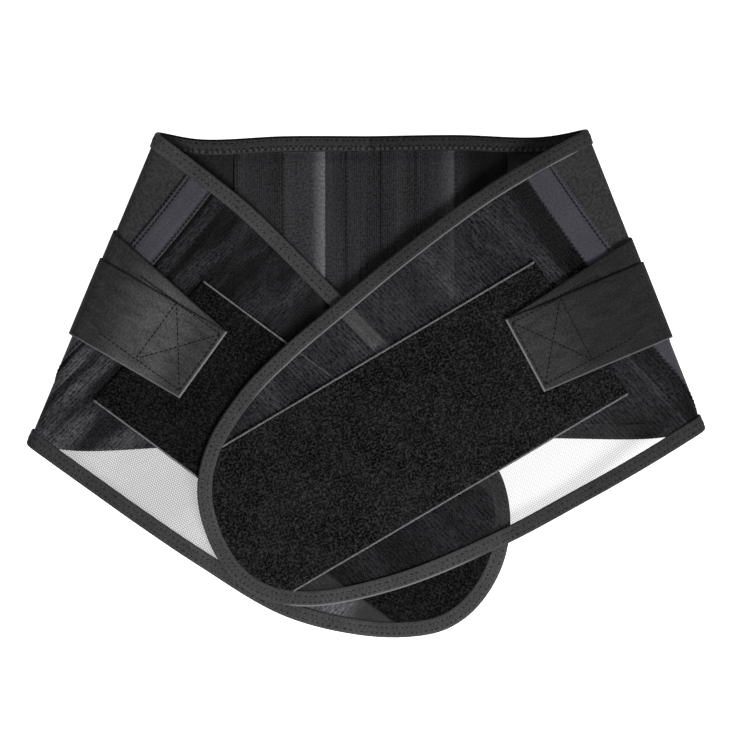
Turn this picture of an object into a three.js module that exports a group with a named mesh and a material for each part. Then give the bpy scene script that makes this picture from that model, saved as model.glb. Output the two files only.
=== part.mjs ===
// Lumbar support belt laid flat, with both wings folded over its back panel and the right wing on top.
// Millimetres, +Z up, +Y towards the belt's upper edge. The cloth is worked out in pattern lengths:
// "across" is measured along the cloth from the outermost line of a side's fold, plus onto the wing and
// minus onto the back, "down" is measured along that fold, and "level" is the height off the middle of
// the cloth, plus on the belt's outer side.

import * as THREE from "three";

// Cloth and webbing thicknesses
const ELASTIC_THICKNESS = 1.2;
const NET_THICKNESS = 1.0;
const PANEL_THICKNESS = 3.0;
const CHANNEL_THICKNESS = 1.0;
const LOOP_THICKNESS = 1.4;
const HOOK_THICKNESS = 1.1;
const STRAP_THICKNESS = 1.2;
const BINDING_WALL = 1.0;

// Clearances between sewn layers
const SEAM_GAP = 0.3;
const LOOP_GAP = 0.5;
const TAPE_GAP = 0.45;
const NET_PLAY = 2.7;

// Edge binding
const BINDING_WIDTH = 12;
const BINDING_STEP = 16;

// Back panel
const BACK_CENTRE = 3.5;
const BACK_TOP = 191;
const BACK_HEIGHT = 236.4;
const PANEL_WIDTH = 210;
const PAD_SLOPE = 9;
const CHANNEL_EDGE = 0.6;
const WIDE_CHANNEL_PLACE = 51;
const WIDE_CHANNEL_WIDTH = 33;
const NARROW_CHANNEL_PLACE = 13.5;
const NARROW_CHANNEL_WIDTH = 11.5;
const CHANNELS = [
  { name: "left_wide", centre: -WIDE_CHANNEL_PLACE, width: WIDE_CHANNEL_WIDTH },
  { name: "left_narrow", centre: -NARROW_CHANNEL_PLACE, width: NARROW_CHANNEL_WIDTH },
  { name: "right_narrow", centre: NARROW_CHANNEL_PLACE, width: NARROW_CHANNEL_WIDTH },
  { name: "right_wide", centre: WIDE_CHANNEL_PLACE, width: WIDE_CHANNEL_WIDTH },
];

// Folds: the upper corner of each side's fold, its tilt from the Y axis and its length
const SIDES = {
  left: {
    hand: -1, cornerX: -159.8, cornerY: 193.3, foldTilt: 22.6, foldLength: 260, foldRadius: 7,
    wingLength: 374.5, fallLength: 110, lapHeight: 0,
  },
  right: {
    hand: 1, cornerX: 169, cornerY: 195.6, foldTilt: 21.5, foldLength: 248.3, foldRadius: 9,
    wingLength: 383.5, fallLength: 130, lapHeight: 4.9,
  },
};

// How the wings come down off the back panel, and off each other, to the floor
const OVER_BACK_HEIGHT = 7.9;
const DROOP_START = 8;
const DROOP_LENGTH = 108;
const LAP_END = 113;
const LAP_SLOPE = 68;

// Wing outlines, as shares of the wing's length and of the fold's length, from the upper corner of the
// fold round the tip to its lower corner
const WING_OUTLINES = {
  left: [
    { across: 0.118, down: 0.047 }, { across: 0.232, down: 0.094 }, { across: 0.366, down: 0.17 },
    { across: 0.487, down: 0.243 }, { across: 0.62, down: 0.325 }, { across: 0.75, down: 0.405 },
    { across: 0.86, down: 0.482 }, { across: 0.93, down: 0.558 }, { across: 0.978, down: 0.668 },
    { across: 0.997, down: 0.8 }, { across: 0.981, down: 0.938 }, { across: 0.94, down: 1.032 },
    { across: 0.87, down: 1.099 }, { across: 0.762, down: 1.153 }, { across: 0.614, down: 1.18 },
    { across: 0.415, down: 1.139 }, { across: 0.278, down: 1.099 }, { across: 0.139, down: 1.051 },
  ],
  right: [
    { across: 0.102, down: 0.021 }, { across: 0.24, down: 0.056 }, { across: 0.434, down: 0.136 },
    { across: 0.583, down: 0.211 }, { across: 0.731, down: 0.289 }, { across: 0.835, down: 0.362 },
    { across: 0.937, down: 0.477 }, { across: 0.99, down: 0.6 }, { across: 1.006, down: 0.735 },
    { across: 0.994, down: 0.876 }, { across: 0.95, down: 0.985 }, { across: 0.864, down: 1.064 },
    { across: 0.684, down: 1.114 }, { across: 0.454, down: 1.107 }, { across: 0.266, down: 1.073 },
    { across: 0.139, down: 1.043 },
  ],
};

// How far the back panel's edges dip below the straight line from its centre to the fold's corner, as
// shares of the half width and of the back's height
const BACK_EDGES = {
  top: [{ out: 0.4, dip: 0.004 }, { out: 0.8, dip: 0.018 }],
  bottom: [{ out: 0.5, dip: 0.008 }, { out: 0.87, dip: 0.022 }],
};

// Stay channel over the seam between elastic and net, which runs to the fold at its foot
const TAPE_WIDTH = 25;
const TAPE_THICKNESS = 1.0;
const SEAM_TOP = 43;
const SEAM_FOOT = 1.5;

// Loop panels: where the upper line starts, its turn from the fold's normal and the slant of its side end
const LOOP_WIDTH = 125;
const LOOPS = {
  left: { startAcross: 80.5, startDown: 91.6, turn: 14, slant: 6 },
  right: { startAcross: 79.6, startDown: 79.9, turn: 9.1, slant: 4.8 },
};

// Elastic straps: where the middle of the front end lies, and the tilt of each band
const STRAP_WIDTH = 62.4;
const STRAP_BACK_REACH = 46;
const STRAPS = {
  left: { endAcross: 105, endDown: 151.8, upperTilt: 19.1, lowerTilt: 7.8 },
  right: { endAcross: 112.7, endDown: 144.7, upperTilt: 11.4, lowerTilt: 1.4 },
};
const HOOK_LENGTH = 42;
const HOOK_INSET = 3;
const LIFT_START = -8;
const LIFT_END = 25;
const CUT_START = 0.3;

// Facets: the steps of each piece's grid, and how finely edges are followed
const GRIDS = {
  panel: { across: 10, down: 6 },
  channel: { across: 4 },
  elastic: { back: 6, wing: 3, down: 8 },
  net: { across: 23 },
  tape: { across: 7, down: 10 },
  loop: { across: 18, down: 8 },
  strap: { back: 7, wing: 8, down: 2 },
  hook: { across: 4, down: 4 },
};
const BEND_STEPS = 6;
const BINDING_FADE = 12;
const TIP_CHORD = 44;
const NET_BOW_FADE = 3;
const NET_CROWDING = 1.25;
const NET_ROWS = [0, 0.1, 0.24, 0.38, 0.52, 0.65, 0.77, 0.89, 1];
const OUTLINE_SAMPLES = 1400;
const SEARCH_STEPS = 80;
const HALVINGS = 12;
const MEET_ROUNDS = 8;
const DIFFERENCE = 0.4;

const FINISHES = {
  elastic: { color: 0x343233, roughness: 0.85, metalness: 0 },
  net: { color: 0x2a282a, roughness: 0.9, metalness: 0 },
  panel: { color: 0x28262a, roughness: 0.9, metalness: 0 },
  tape: { color: 0x46454b, roughness: 0.5, metalness: 0 },
  loop: { color: 0x1a191a, roughness: 1, metalness: 0 },
  binding: { color: 0x3a3a3b, roughness: 0.7, metalness: 0 },
  strap: { color: 0x38363a, roughness: 0.85, metalness: 0 },
  hook: { color: 0x161616, roughness: 0.8, metalness: 0 },
};

// Levels of the layers off the middle of the cloth
const ELASTIC_FACE = ELASTIC_THICKNESS / 2;
const NET_FACE = NET_THICKNESS / 2;
const SLOT_FACE = ELASTIC_FACE + SEAM_GAP;
const BINDING_FACE = SLOT_FACE + BINDING_WALL;
const CLOTH_INSET = BINDING_WALL + SEAM_GAP;
const NET_INSET = CLOTH_INSET + NET_PLAY;
const TRIM_INSET = BINDING_WIDTH + SEAM_GAP;
const TAPE_BASE = ELASTIC_FACE + TAPE_GAP;
const LOOP_BASE = NET_FACE + LOOP_GAP;
const LOOP_FACE = LOOP_BASE + LOOP_THICKNESS;
const HOOK_BASE = LOOP_FACE + SEAM_GAP;
const STRAP_BASE_BACK = ELASTIC_FACE + SEAM_GAP;
const STRAP_BASE_FRONT = HOOK_BASE + HOOK_THICKNESS + SEAM_GAP;
const STRAP_PITCH = STRAP_THICKNESS + SEAM_GAP;
const BACK_LEVEL = STRAP_BASE_BACK + STRAP_PITCH + STRAP_THICKNESS;
const FLOOR_LEVEL = BINDING_FACE;

const { degToRad, lerp, smoothstep, clamp } = THREE.MathUtils;

// Closed solid between two levels of a surface, on a grid of columns and rows that are both rising
function sheet(columns, rows, place, lowerLevel, upperLevel) {
  const positions = [];
  const indices = [];
  const width = rows.length;
  const layer = columns.length * width;
  for (const level of [lowerLevel, upperLevel]) {
    for (const u of columns) {
      for (const v of rows) {
        positions.push(...place(u, v, level(u, v)));
      }
    }
  }
  const quad = (a, b, c, d) => indices.push(a, b, c, a, c, d);
  const at = (i, j, upper) => (upper ? layer : 0) + i * width + j;
  for (let i = 0; i + 1 < columns.length; i += 1) {
    for (let j = 0; j + 1 < width; j += 1) {
      quad(at(i, j, true), at(i + 1, j, true), at(i + 1, j + 1, true), at(i, j + 1, true));
      quad(at(i, j, false), at(i, j + 1, false), at(i + 1, j + 1, false), at(i + 1, j, false));
    }
  }
  const last = columns.length - 1;
  const foot = width - 1;
  for (let i = 0; i < last; i += 1) {
    quad(at(i, 0, false), at(i + 1, 0, false), at(i + 1, 0, true), at(i, 0, true));
    quad(at(i + 1, foot, false), at(i, foot, false), at(i, foot, true), at(i + 1, foot, true));
  }
  for (let j = 0; j + 1 < width; j += 1) {
    quad(at(0, j + 1, false), at(0, j, false), at(0, j, true), at(0, j + 1, true));
    quad(at(last, j, false), at(last, j + 1, false), at(last, j + 1, true), at(last, j, true));
  }
  return solid(positions, indices);
}

// Closed solid of one flat profile carried through a row of sections, with a cap at each end
function sweep(profile, sections) {
  const positions = sections.flat(2);
  const indices = [];
  const ring = profile.length;
  for (let i = 0; i + 1 < sections.length; i += 1) {
    for (let k = 0; k < ring; k += 1) {
      const next = (k + 1) % ring;
      const [a, b] = [i * ring + k, i * ring + next];
      indices.push(a, b, b + ring, a, b + ring, a + ring);
    }
  }
  const end = (sections.length - 1) * ring;
  for (const [a, b, c] of THREE.ShapeUtils.triangulateShape(profile, [])) {
    indices.push(a, c, b, end + a, end + b, end + c);
  }
  return solid(positions, indices);
}

// Indexed geometry with its faces pointing out
function solid(positions, indices) {
  const corner = (k) => new THREE.Vector3().fromArray(positions, 3 * indices[k]);
  let volume = 0;
  for (let k = 0; k < indices.length; k += 3) {
    volume += corner(k).dot(corner(k + 1).cross(corner(k + 2)));
  }
  if (volume < 0) {
    indices.reverse();
  }
  const geometry = new THREE.BufferGeometry();
  geometry.setAttribute("position", new THREE.Float32BufferAttribute(positions, 3));
  geometry.setIndex(indices);
  geometry.computeVertexNormals();
  return geometry;
}

// Even steps from one number to another
function steps(from, to, count) {
  return Array.from({ length: count + 1 }, (_, i) => lerp(from, to, i / count));
}

// Columns round the fold: -2 to -1 on the back, -1 to 1 in the bend and 1 to 2 on the wing
function columnsRoundBend({ back, wing }) {
  return [...steps(-2, -1, back), ...steps(-1, 1, 2 * BEND_STEPS).slice(1, -1), ...steps(1, 2, wing)];
}

// Level that is the same all over a sheet
const flat = (level) => () => level;

// First place between two values where a test turns from true to false
function searchEdge(from, to, test) {
  let inside = from;
  let outside = to;
  for (const value of steps(from, to, SEARCH_STEPS)) {
    if (!test(value)) {
      outside = value;
      break;
    }
    inside = value;
  }
  for (let i = 0; i < HALVINGS; i += 1) {
    const middle = (inside + outside) / 2;
    if (test(middle)) {
      inside = middle;
    } else {
      outside = middle;
    }
  }
  return inside;
}

// One side of the belt: its fold, its wing and the half of the back's edge that leads to it
class Side {
  constructor(name) {
    Object.assign(this, SIDES[name]);
    this.name = name;
    const tilt = degToRad(this.foldTilt);
    this.corner = new THREE.Vector2(this.cornerX, this.cornerY);
    this.along = new THREE.Vector2(this.hand * Math.sin(tilt), -Math.cos(tilt));
    this.inward = new THREE.Vector2(-this.hand * Math.cos(tilt), -Math.sin(tilt));
    this.quarter = (this.foldRadius * Math.PI) / 2;
    this.slack = this.quarter - this.foldRadius;
    this.outline = this.traceOutline();
    this.tip = this.outline.reduce((best, p, i, all) => (p.x > all[best].x ? i : best), 0);
    this.trimmed = this.outline.map((_, i) => this.inset(i, CLOTH_INSET));
  }

  // Plan position of a distance in from the fold and a distance down along it
  plan(distance, down) {
    return this.corner.clone().addScaledVector(this.inward, distance).addScaledVector(this.along, down);
  }

  // Pattern position of a point of the back, given in plan
  patternOfBack(x, y) {
    const offset = new THREE.Vector2(x, y).sub(this.corner);
    return new THREE.Vector2(-(offset.dot(this.inward) + this.slack), offset.dot(this.along));
  }

  // Plan X of a pattern position on the back
  backX(across, down) {
    return this.plan(-across - this.slack, down).x;
  }

  // Height of the wing's cloth: high at the fold, then down to the back, the other wing or the floor
  wingHeight(spot, distance) {
    const backEdge = BACK_TOP - BACK_HEIGHT;
    const overBack = smoothstep(spot.y, backEdge + DROOP_START - DROOP_LENGTH, backEdge + DROOP_START);
    const overWing = 1 - smoothstep(spot.x, LAP_END, LAP_END + LAP_SLOPE);
    const rest = FLOOR_LEVEL + OVER_BACK_HEIGHT * overBack + this.lapHeight * overWing;
    const top = BACK_LEVEL + 2 * this.foldRadius;
    return lerp(top, rest, smoothstep(distance, 0, this.fallLength));
  }

  // Middle of the cloth in space
  surface(across, down) {
    const reach = Math.abs(across);
    if (reach < this.quarter) {
      const angle = across / this.foldRadius;
      const spot = this.plan(this.foldRadius * (1 - Math.cos(angle)), down);
      return new THREE.Vector3(spot.x, spot.y, BACK_LEVEL + this.foldRadius * (1 + Math.sin(angle)));
    }
    const distance = reach - this.slack;
    const spot = this.plan(distance, down);
    const height = across > 0 ? this.wingHeight(spot, distance - this.foldRadius) : BACK_LEVEL;
    return new THREE.Vector3(spot.x, spot.y, height);
  }

  // Point at a level off the cloth, as an array
  point(across, down, level) {
    const acrossStep = this.surface(across + DIFFERENCE, down).sub(this.surface(across - DIFFERENCE, down));
    const downStep = this.surface(across, down + DIFFERENCE).sub(this.surface(across, down - DIFFERENCE));
    const normal = acrossStep.cross(downStep).normalize().multiplyScalar(this.hand);
    return this.surface(across, down).addScaledVector(normal, level).toArray();
  }

  // Belt's edge in pattern lengths, from the back's centre over the fold, round the wing and back
  traceOutline() {
    const middleX = BACK_CENTRE + (this.hand * SEAM_GAP) / 2;
    const half = (centreY, end, dips) =>
      [{ out: 0, dip: 0 }, ...dips].map(({ out, dip }) => {
        const y = lerp(centreY, end.y, out) - dip * BACK_HEIGHT;
        return this.patternOfBack(lerp(middleX, end.x, out), y).toArray();
      });
    const upper = half(BACK_TOP, this.corner, BACK_EDGES.top);
    const lower = half(BACK_TOP - BACK_HEIGHT, this.plan(0, this.foldLength), BACK_EDGES.bottom);
    const wing = WING_OUTLINES[this.name].map(
      ({ across, down }) => [across * this.wingLength + this.slack, down * this.foldLength]);
    const points = [...upper, [0, 0], ...wing, [0, this.foldLength], ...lower.reverse()];
    const curve = new THREE.CatmullRomCurve3(points.map(([x, y]) => new THREE.Vector3(x, y, 0)));
    return curve.getSpacedPoints(OUTLINE_SAMPLES).map((p) => new THREE.Vector2(p.x, p.y));
  }

  // Unit direction into the cloth at an outline sample
  inwardAt(index) {
    const before = this.outline[Math.max(index - 1, 0)];
    const after = this.outline[Math.min(index + 1, this.outline.length - 1)];
    const direction = after.clone().sub(before).normalize();
    return new THREE.Vector2(-direction.y, direction.x);
  }

  // Outline sample moved into the cloth by a distance
  inset(index, distance) {
    return this.outline[index].clone().addScaledVector(this.inwardAt(index), distance);
  }

  // "Down" of the trimmed cloth's upper or lower edge at an "across" near the fold
  edgeDown(across, lower) {
    const edge = this.trimmed;
    const crosses = (p, i) => i > 0 && (p.x - across) * (edge[i - 1].x - across) <= 0;
    const index = lower ? edge.findLastIndex(crosses) : edge.findIndex(crosses);
    const [a, b] = [edge[index - 1], edge[index]];
    return lerp(a.y, b.y, (across - a.x) / (b.x - a.x || 1));
  }

  // "Down" at a share of the way from the upper to the lower edge
  rowDown(across, share) {
    return lerp(this.edgeDown(across, false), this.edgeDown(across, true), share);
  }

  // Pattern position where a row meets a slanted line that gives "across" for a "down"
  meet(share, line) {
    let across = line(share * this.foldLength);
    for (let i = 0; i < MEET_ROUNDS; i += 1) {
      across = line(this.rowDown(across, share));
    }
    return across;
  }

  // Whether a pattern position lies further than a distance from the belt's edge
  clearOfEdge([across, down], distance) {
    const spot = new THREE.Vector2(across, down);
    return this.outline.every((sample) => sample.distanceToSquared(spot) > distance * distance);
  }

  // "Across" of the seam between elastic and net, which curves in to the fold at its foot
  seamAcross(down) {
    const share = clamp(1 - down / this.foldLength, 0, 1);
    return this.quarter + lerp(SEAM_FOOT, SEAM_TOP, share * share);
  }
}

// Names a piece and gives it its finish
function piece(name, geometry, finish) {
  const mesh = new THREE.Mesh(geometry, new THREE.MeshStandardMaterial(FINISHES[finish]));
  mesh.name = name;
  return mesh;
}

// Plan Y of the back's edge at a plan X
function backEdgeY(sides, x, lower) {
  const side = x < BACK_CENTRE ? sides.left : sides.right;
  const passed = (p) => (side.backX(p.x, p.y) - x) * side.hand >= 0;
  const sample = lower ? side.outline.findLast(passed) : side.outline.find(passed);
  return side.plan(-sample.x - side.slack, sample.y).y;
}

// Point of the back's middle: X from the centre, a distance below the trimmed upper edge, and a level
function backPoint(sides, across, row, level) {
  const x = BACK_CENTRE + across;
  const top = backEdgeY(sides, x, false) - CLOTH_INSET;
  const bottom = backEdgeY(sides, x, true) + CLOTH_INSET;
  return [x, lerp(top, bottom, row / (BACK_HEIGHT - 2 * CLOTH_INSET)), BACK_LEVEL - level];
}

// Level of the back panel's inner face: padded, but thin where the binding clasps it
function padLevel(row) {
  const distance = Math.min(row, BACK_HEIGHT - 2 * CLOTH_INSET - row) + CLOTH_INSET;
  const rise = smoothstep(distance, TRIM_INSET, TRIM_INSET + PAD_SLOPE);
  return -lerp(ELASTIC_FACE, PANEL_THICKNESS - ELASTIC_FACE, rise);
}

// Rows down the back after its first rows, with more of them on the slopes of the padding
function backRows(first) {
  const height = BACK_HEIGHT - 2 * CLOTH_INSET;
  const slope = TRIM_INSET - CLOTH_INSET;
  const upper = [...first, slope + PAD_SLOPE / 3, slope + (2 * PAD_SLOPE) / 3, slope + PAD_SLOPE];
  const middle = steps(slope + PAD_SLOPE, height - slope - PAD_SLOPE, GRIDS.panel.down).slice(1, -1);
  return [...upper, ...middle, ...upper.map((value) => height - value).reverse()];
}

// Padded middle of the back
function backPanel(sides) {
  const half = PANEL_WIDTH / 2 - SEAM_GAP / 2;
  const place = (u, v, level) => backPoint(sides, u, v, level);
  const inner = (u, v) => padLevel(v);
  const rows = backRows([0, TRIM_INSET - CLOTH_INSET]);
  const columns = steps(-half, half, GRIDS.panel.across);
  return piece("back_panel", sheet(columns, rows, place, flat(ELASTIC_FACE), inner), "panel");
}

// Channel for a stay on the back panel's inner face, crowned over the stay
function stayChannel(sides, { name, centre, width }) {
  const place = (u, v, level) => backPoint(sides, u, v, level);
  const base = (u, v) => padLevel(v) - SEAM_GAP;
  const crown = (u) => 1 - ((2 * (u - centre)) / width) ** 2;
  const face = (u, v) => base(u, v) - CHANNEL_THICKNESS * lerp(CHANNEL_EDGE, 1, crown(u));
  const columns = steps(centre - width / 2, centre + width / 2, GRIDS.channel.across);
  const rows = backRows([TRIM_INSET - CLOTH_INSET + 2 * SEAM_GAP]);
  return piece(`stay_channel_${name}`, sheet(columns, rows, place, base, face), "panel");
}

// Elastic from the back panel's side seam round the fold to the middle of the side's stay channel
function sideElastic(side) {
  const seamX = BACK_CENTRE + (side.hand * (PANEL_WIDTH + SEAM_GAP)) / 2;
  const backSeam = (down) => -(seamX - side.corner.x - side.along.x * down) / side.inward.x - side.slack;
  const netSeam = (down) => side.seamAcross(down) - SEAM_GAP / 2;
  const columns = columnsRoundBend(GRIDS.elastic);
  const place = (u, v, level) => {
    const bend = clamp(u, -1, 1) * side.quarter;
    const far = Math.abs(u) > 1 ? side.meet(v, u < 0 ? backSeam : netSeam) : bend;
    const across = lerp(bend, far, Math.max(Math.abs(u) - 1, 0));
    return side.point(across, side.rowDown(across, v), level);
  };
  const rows = steps(0, 1, GRIDS.elastic.down);
  const mesh = sheet(columns, rows, place, flat(-ELASTIC_FACE), flat(ELASTIC_FACE));
  return piece(`side_elastic_${side.name}`, mesh, "elastic");
}

// Sheer net of a wing, from the elastic's seam to the rounded tip
function wingNet(side) {
  const beyond = (p) => p.x > side.seamAcross(p.y) + SEAM_GAP / 2;
  const trimmed = side.outline.map((_, i) => side.inset(i, NET_INSET));
  const first = trimmed.findIndex(beyond);
  const last = trimmed.findLastIndex(beyond);
  const sample = (value) => trimmed[Math.round(value)];
  const rung = (u, v) => sample(lerp(first, side.tip - TIP_CHORD / 2, u)).clone()
    .lerp(sample(lerp(last, side.tip + TIP_CHORD / 2, u)), v);
  const place = (u, v, level) => {
    const spot = rung(u, v);
    const start = rung(0, v);
    const bow = side.seamAcross(start.y) + SEAM_GAP / 2 - start.x;
    return side.point(spot.x + bow * (1 - u) ** NET_BOW_FADE, spot.y, level);
  };
  const columns = steps(0, 1, GRIDS.net.across).map((u) => u ** NET_CROWDING);
  const mesh = sheet(columns, NET_ROWS, place, flat(-NET_FACE), flat(NET_FACE));
  return piece(`wing_net_${side.name}`, mesh, "net");
}

// Satin channel over the seam between elastic and net
function sideTape(side) {
  const spot = (u, down) => [side.seamAcross(down) + u * TAPE_WIDTH, down];
  const inside = (u) => (down) => side.clearOfEdge(spot(u, down), TRIM_INSET);
  const middle = side.foldLength / 2;
  const place = (u, v, level) => {
    const top = searchEdge(middle, -TRIM_INSET, inside(u));
    const foot = searchEdge(middle, side.foldLength + TRIM_INSET, inside(u));
    return side.point(...spot(u, lerp(top, foot, v)), level);
  };
  const face = flat(TAPE_BASE + TAPE_THICKNESS);
  const columns = steps(-0.5, 0.5, GRIDS.tape.across);
  const mesh = sheet(columns, steps(0, 1, GRIDS.tape.down), place, flat(TAPE_BASE), face);
  return piece(`side_channel_${side.name}`, mesh, "tape");
}

// Frame of a loop panel: turns a distance along its upper line and one down from it into a pattern position
function loopFrame(side) {
  const { startAcross, startDown, turn } = LOOPS[side.name];
  const [c, s] = [Math.cos(degToRad(turn)), Math.sin(degToRad(turn))];
  return (along, below) => [startAcross + along * c - below * s, startDown + along * s + below * c];
}

// Loop pile panel that the other wing and the straps fasten to, out to the tip's binding
function loopPanel(side) {
  const frame = loopFrame(side);
  const slant = Math.tan(degToRad(LOOPS[side.name].slant));
  const place = (u, v, level) => {
    const below = v * LOOP_WIDTH;
    const inside = (along) => side.clearOfEdge(frame(along, below), TRIM_INSET + SEAM_GAP);
    const start = -below * slant;
    const end = searchEdge(start, side.wingLength, inside);
    return side.point(...frame(lerp(start, end, u), below), level);
  };
  const [columns, rows] = [steps(0, 1, GRIDS.loop.across), steps(0, 1, GRIDS.loop.down)];
  const mesh = sheet(columns, rows, place, flat(LOOP_BASE), flat(LOOP_FACE));
  return piece(`loop_panel_${side.name}`, mesh, "loop");
}

// Elastic band of a strap: from its front end on the wing round the fold and under the back panel
function strapBand(side, layer) {
  const { endAcross, endDown, upperTilt, lowerTilt } = STRAPS[side.name];
  const tilt = degToRad(layer === 0 ? upperTilt : lowerTilt);
  const endCut = degToRad((upperTilt + lowerTilt) / 2);
  const middleDown = (across) => endDown - (endAcross - across) * Math.tan(tilt);
  const fromCentre = (across) => (side.backX(across, middleDown(across)) - BACK_CENTRE) * side.hand;
  const short = (across) => fromCentre(across) > STRAP_BACK_REACH;
  const backEnd = searchEdge(-side.quarter, -side.wingLength, short);
  const spot = (u, v) => {
    const bend = clamp(u, -1, 1) * side.quarter;
    const stretch = Math.max(Math.abs(u) - 1, 0);
    const across = lerp(bend, u > 0 ? endAcross : backEnd, stretch);
    const cut = (u > 0 ? endCut : tilt) * smoothstep(stretch, CUT_START, 1);
    const half = (v * STRAP_WIDTH) / 2 / Math.cos(cut - tilt);
    return [across - half * Math.sin(cut), middleDown(across) + half * Math.cos(cut)];
  };
  const lift = (across) => lerp(STRAP_BASE_BACK, STRAP_BASE_FRONT, smoothstep(across, LIFT_START, LIFT_END));
  const base = (u, v) => lift(spot(u, v)[0]) + layer * STRAP_PITCH;
  const face = (u, v) => base(u, v) + STRAP_THICKNESS;
  const columns = columnsRoundBend(GRIDS.strap);
  const place = (u, v, level) => side.point(...spot(u, v), level);
  const name = `strap_${layer === 0 ? "upper" : "lower"}_${side.name}`;
  return piece(name, sheet(columns, steps(-1, 1, GRIDS.strap.down), place, base, face), "strap");
}

// Hook patch under the front end of a strap
function strapHook(side) {
  const { endAcross, endDown, upperTilt, lowerTilt } = STRAPS[side.name];
  const tilt = degToRad((upperTilt + lowerTilt) / 2);
  const [c, s] = [Math.cos(tilt), Math.sin(tilt)];
  const half = STRAP_WIDTH / 2 - HOOK_INSET;
  const spot = (u, v) => [endAcross - u * c - v * half * s, endDown - u * s + v * half * c];
  const place = (u, v, level) => side.point(...spot(u, v), level);
  const columns = steps(HOOK_INSET, HOOK_INSET + HOOK_LENGTH, GRIDS.hook.across);
  const rows = steps(-1, 1, GRIDS.hook.down);
  const mesh = sheet(columns, rows, place, flat(HOOK_BASE), flat(HOOK_BASE + HOOK_THICKNESS));
  return piece(`strap_hook_${side.name}`, mesh, "hook");
}

// Outline samples that carry a section of the binding, close together round the fold
function bindingSamples(side) {
  const fine = side.quarter / BEND_STEPS;
  const picked = [0];
  for (let i = 1; i < side.outline.length - 1; i += 1) {
    const [before, here] = [side.outline[i - 1], side.outline[i]];
    const bent = Math.abs(here.x) < side.quarter + fine / 2;
    const crossed = Math.floor(here.x / fine) !== Math.floor(before.x / fine);
    const due = here.distanceTo(side.outline[picked.at(-1)]) >= BINDING_STEP;
    if (bent ? crossed : due) {
      picked.push(i);
    }
  }
  return [...picked, side.outline.length - 1];
}

// Folded tape that clasps the belt's edge on one side, in one length round back, fold and wing
function edgeBinding(side) {
  const [w, h, s, e] = [BINDING_WIDTH, BINDING_FACE, SLOT_FACE, BINDING_WALL];
  const corners = [[0, -h], [w, -h], [w, -s], [e, -s], [e, s], [w, s], [w, h], [0, h]];
  const profile = corners.map(([x, y]) => new THREE.Vector2(x, y));
  const sections = bindingSamples(side).map((index) => {
    const edge = side.outline[index];
    const inward = side.inwardAt(index);
    const straight = smoothstep(Math.abs(edge.x), side.quarter, side.quarter + BINDING_FADE);
    const direction = new THREE.Vector2(inward.x * straight, inward.y).normalize();
    const width = 1 / direction.dot(inward);
    return profile.map(({ x, y }) =>
      side.point(edge.x + direction.x * x * width, edge.y + direction.y * x * width, y));
  });
  return piece(`edge_binding_${side.name}`, sweep(profile, sections), "binding");
}

// Moves the belt so that it stands on the floor with the middle of its box at the origin
function centreOnFloor(group) {
  const box = new THREE.Box3().setFromObject(group);
  const middle = box.getCenter(new THREE.Vector3());
  group.position.set(-middle.x, -middle.y, -box.min.z);
  return group;
}

const sides = { left: new Side("left"), right: new Side("right") };
const belt = new THREE.Group();
belt.add(backPanel(sides), ...CHANNELS.map((channel) => stayChannel(sides, channel)));
for (const side of [sides.left, sides.right]) {
  belt.add(sideElastic(side), wingNet(side), sideTape(side), loopPanel(side), edgeBinding(side));
  belt.add(strapBand(side, 0), strapBand(side, 1), strapHook(side));
}

export default centreOnFloor(belt);
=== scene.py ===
"""Looks of a lumbar support belt that lies flat with both wings folded over its back panel.

Sizes are in millimetres. Each side of the belt is worked out in pattern lengths, as its cutter sees it:
"across" runs along the cloth from the outermost line of the side's fold, plus onto the wing and minus onto
the back, "down" runs along that fold, and "level" is the height off the middle of the cloth, plus on the
belt's outer side. Meshes are in metres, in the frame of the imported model.
"""

import logging
import math
from dataclasses import dataclass, field
from enum import Enum
from typing import Callable, Optional, Protocol, Sequence, Union

import bpy
import numpy as np
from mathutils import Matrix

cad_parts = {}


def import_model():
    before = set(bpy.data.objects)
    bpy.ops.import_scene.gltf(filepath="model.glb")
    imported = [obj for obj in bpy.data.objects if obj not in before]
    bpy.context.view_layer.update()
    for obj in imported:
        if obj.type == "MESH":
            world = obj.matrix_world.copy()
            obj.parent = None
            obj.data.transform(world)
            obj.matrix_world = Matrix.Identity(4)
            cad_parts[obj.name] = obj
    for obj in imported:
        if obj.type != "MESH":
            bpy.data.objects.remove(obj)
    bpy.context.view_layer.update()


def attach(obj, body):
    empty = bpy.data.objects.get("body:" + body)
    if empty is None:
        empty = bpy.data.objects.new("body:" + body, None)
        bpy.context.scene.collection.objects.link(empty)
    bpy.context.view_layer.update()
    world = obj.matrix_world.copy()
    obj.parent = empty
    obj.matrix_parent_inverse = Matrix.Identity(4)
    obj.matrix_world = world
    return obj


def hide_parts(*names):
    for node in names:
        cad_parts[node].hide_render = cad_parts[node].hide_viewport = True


LOG = logging.getLogger("belt")
METRES = 0.001

# millimetres of the pattern in one unit of a UV map
UV_UNIT = 100.0
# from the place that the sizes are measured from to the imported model's own middle
SHIFT = np.array([-0.149, -0.229, 0.0])
# steps of a smooth curve between two of its points, and lines over a sheet's rounded border
CURVE_STEPS = 80
RIM_LINES = 5
# share of a sheet's thickness that is left at its very border
RIM_LEAST = 0.12
# a thread's rise off the cloth and its depth in it at the ends, in radii, and its share of thickness there
THREAD_RISE = 1.3
THREAD_SINK = 0.5
THREAD_END = 0.35
STITCH_POINTS = 4

Array = np.ndarray
Pattern = tuple[Array, Array]
Places = Callable[[Array, Array], Pattern]
Level = Callable[[Array, Array], Array]
Span = tuple[float, float]
Triple = tuple[float, float, float]
Colour = Triple
Piece = bpy.types.Object
Material = bpy.types.Material
Socket = bpy.types.NodeSocket

# a stretch that ends before the tape starts, for a painted highlight that a tape doesn't have
NOWHERE: Span = (-9.0, -8.0)


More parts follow.
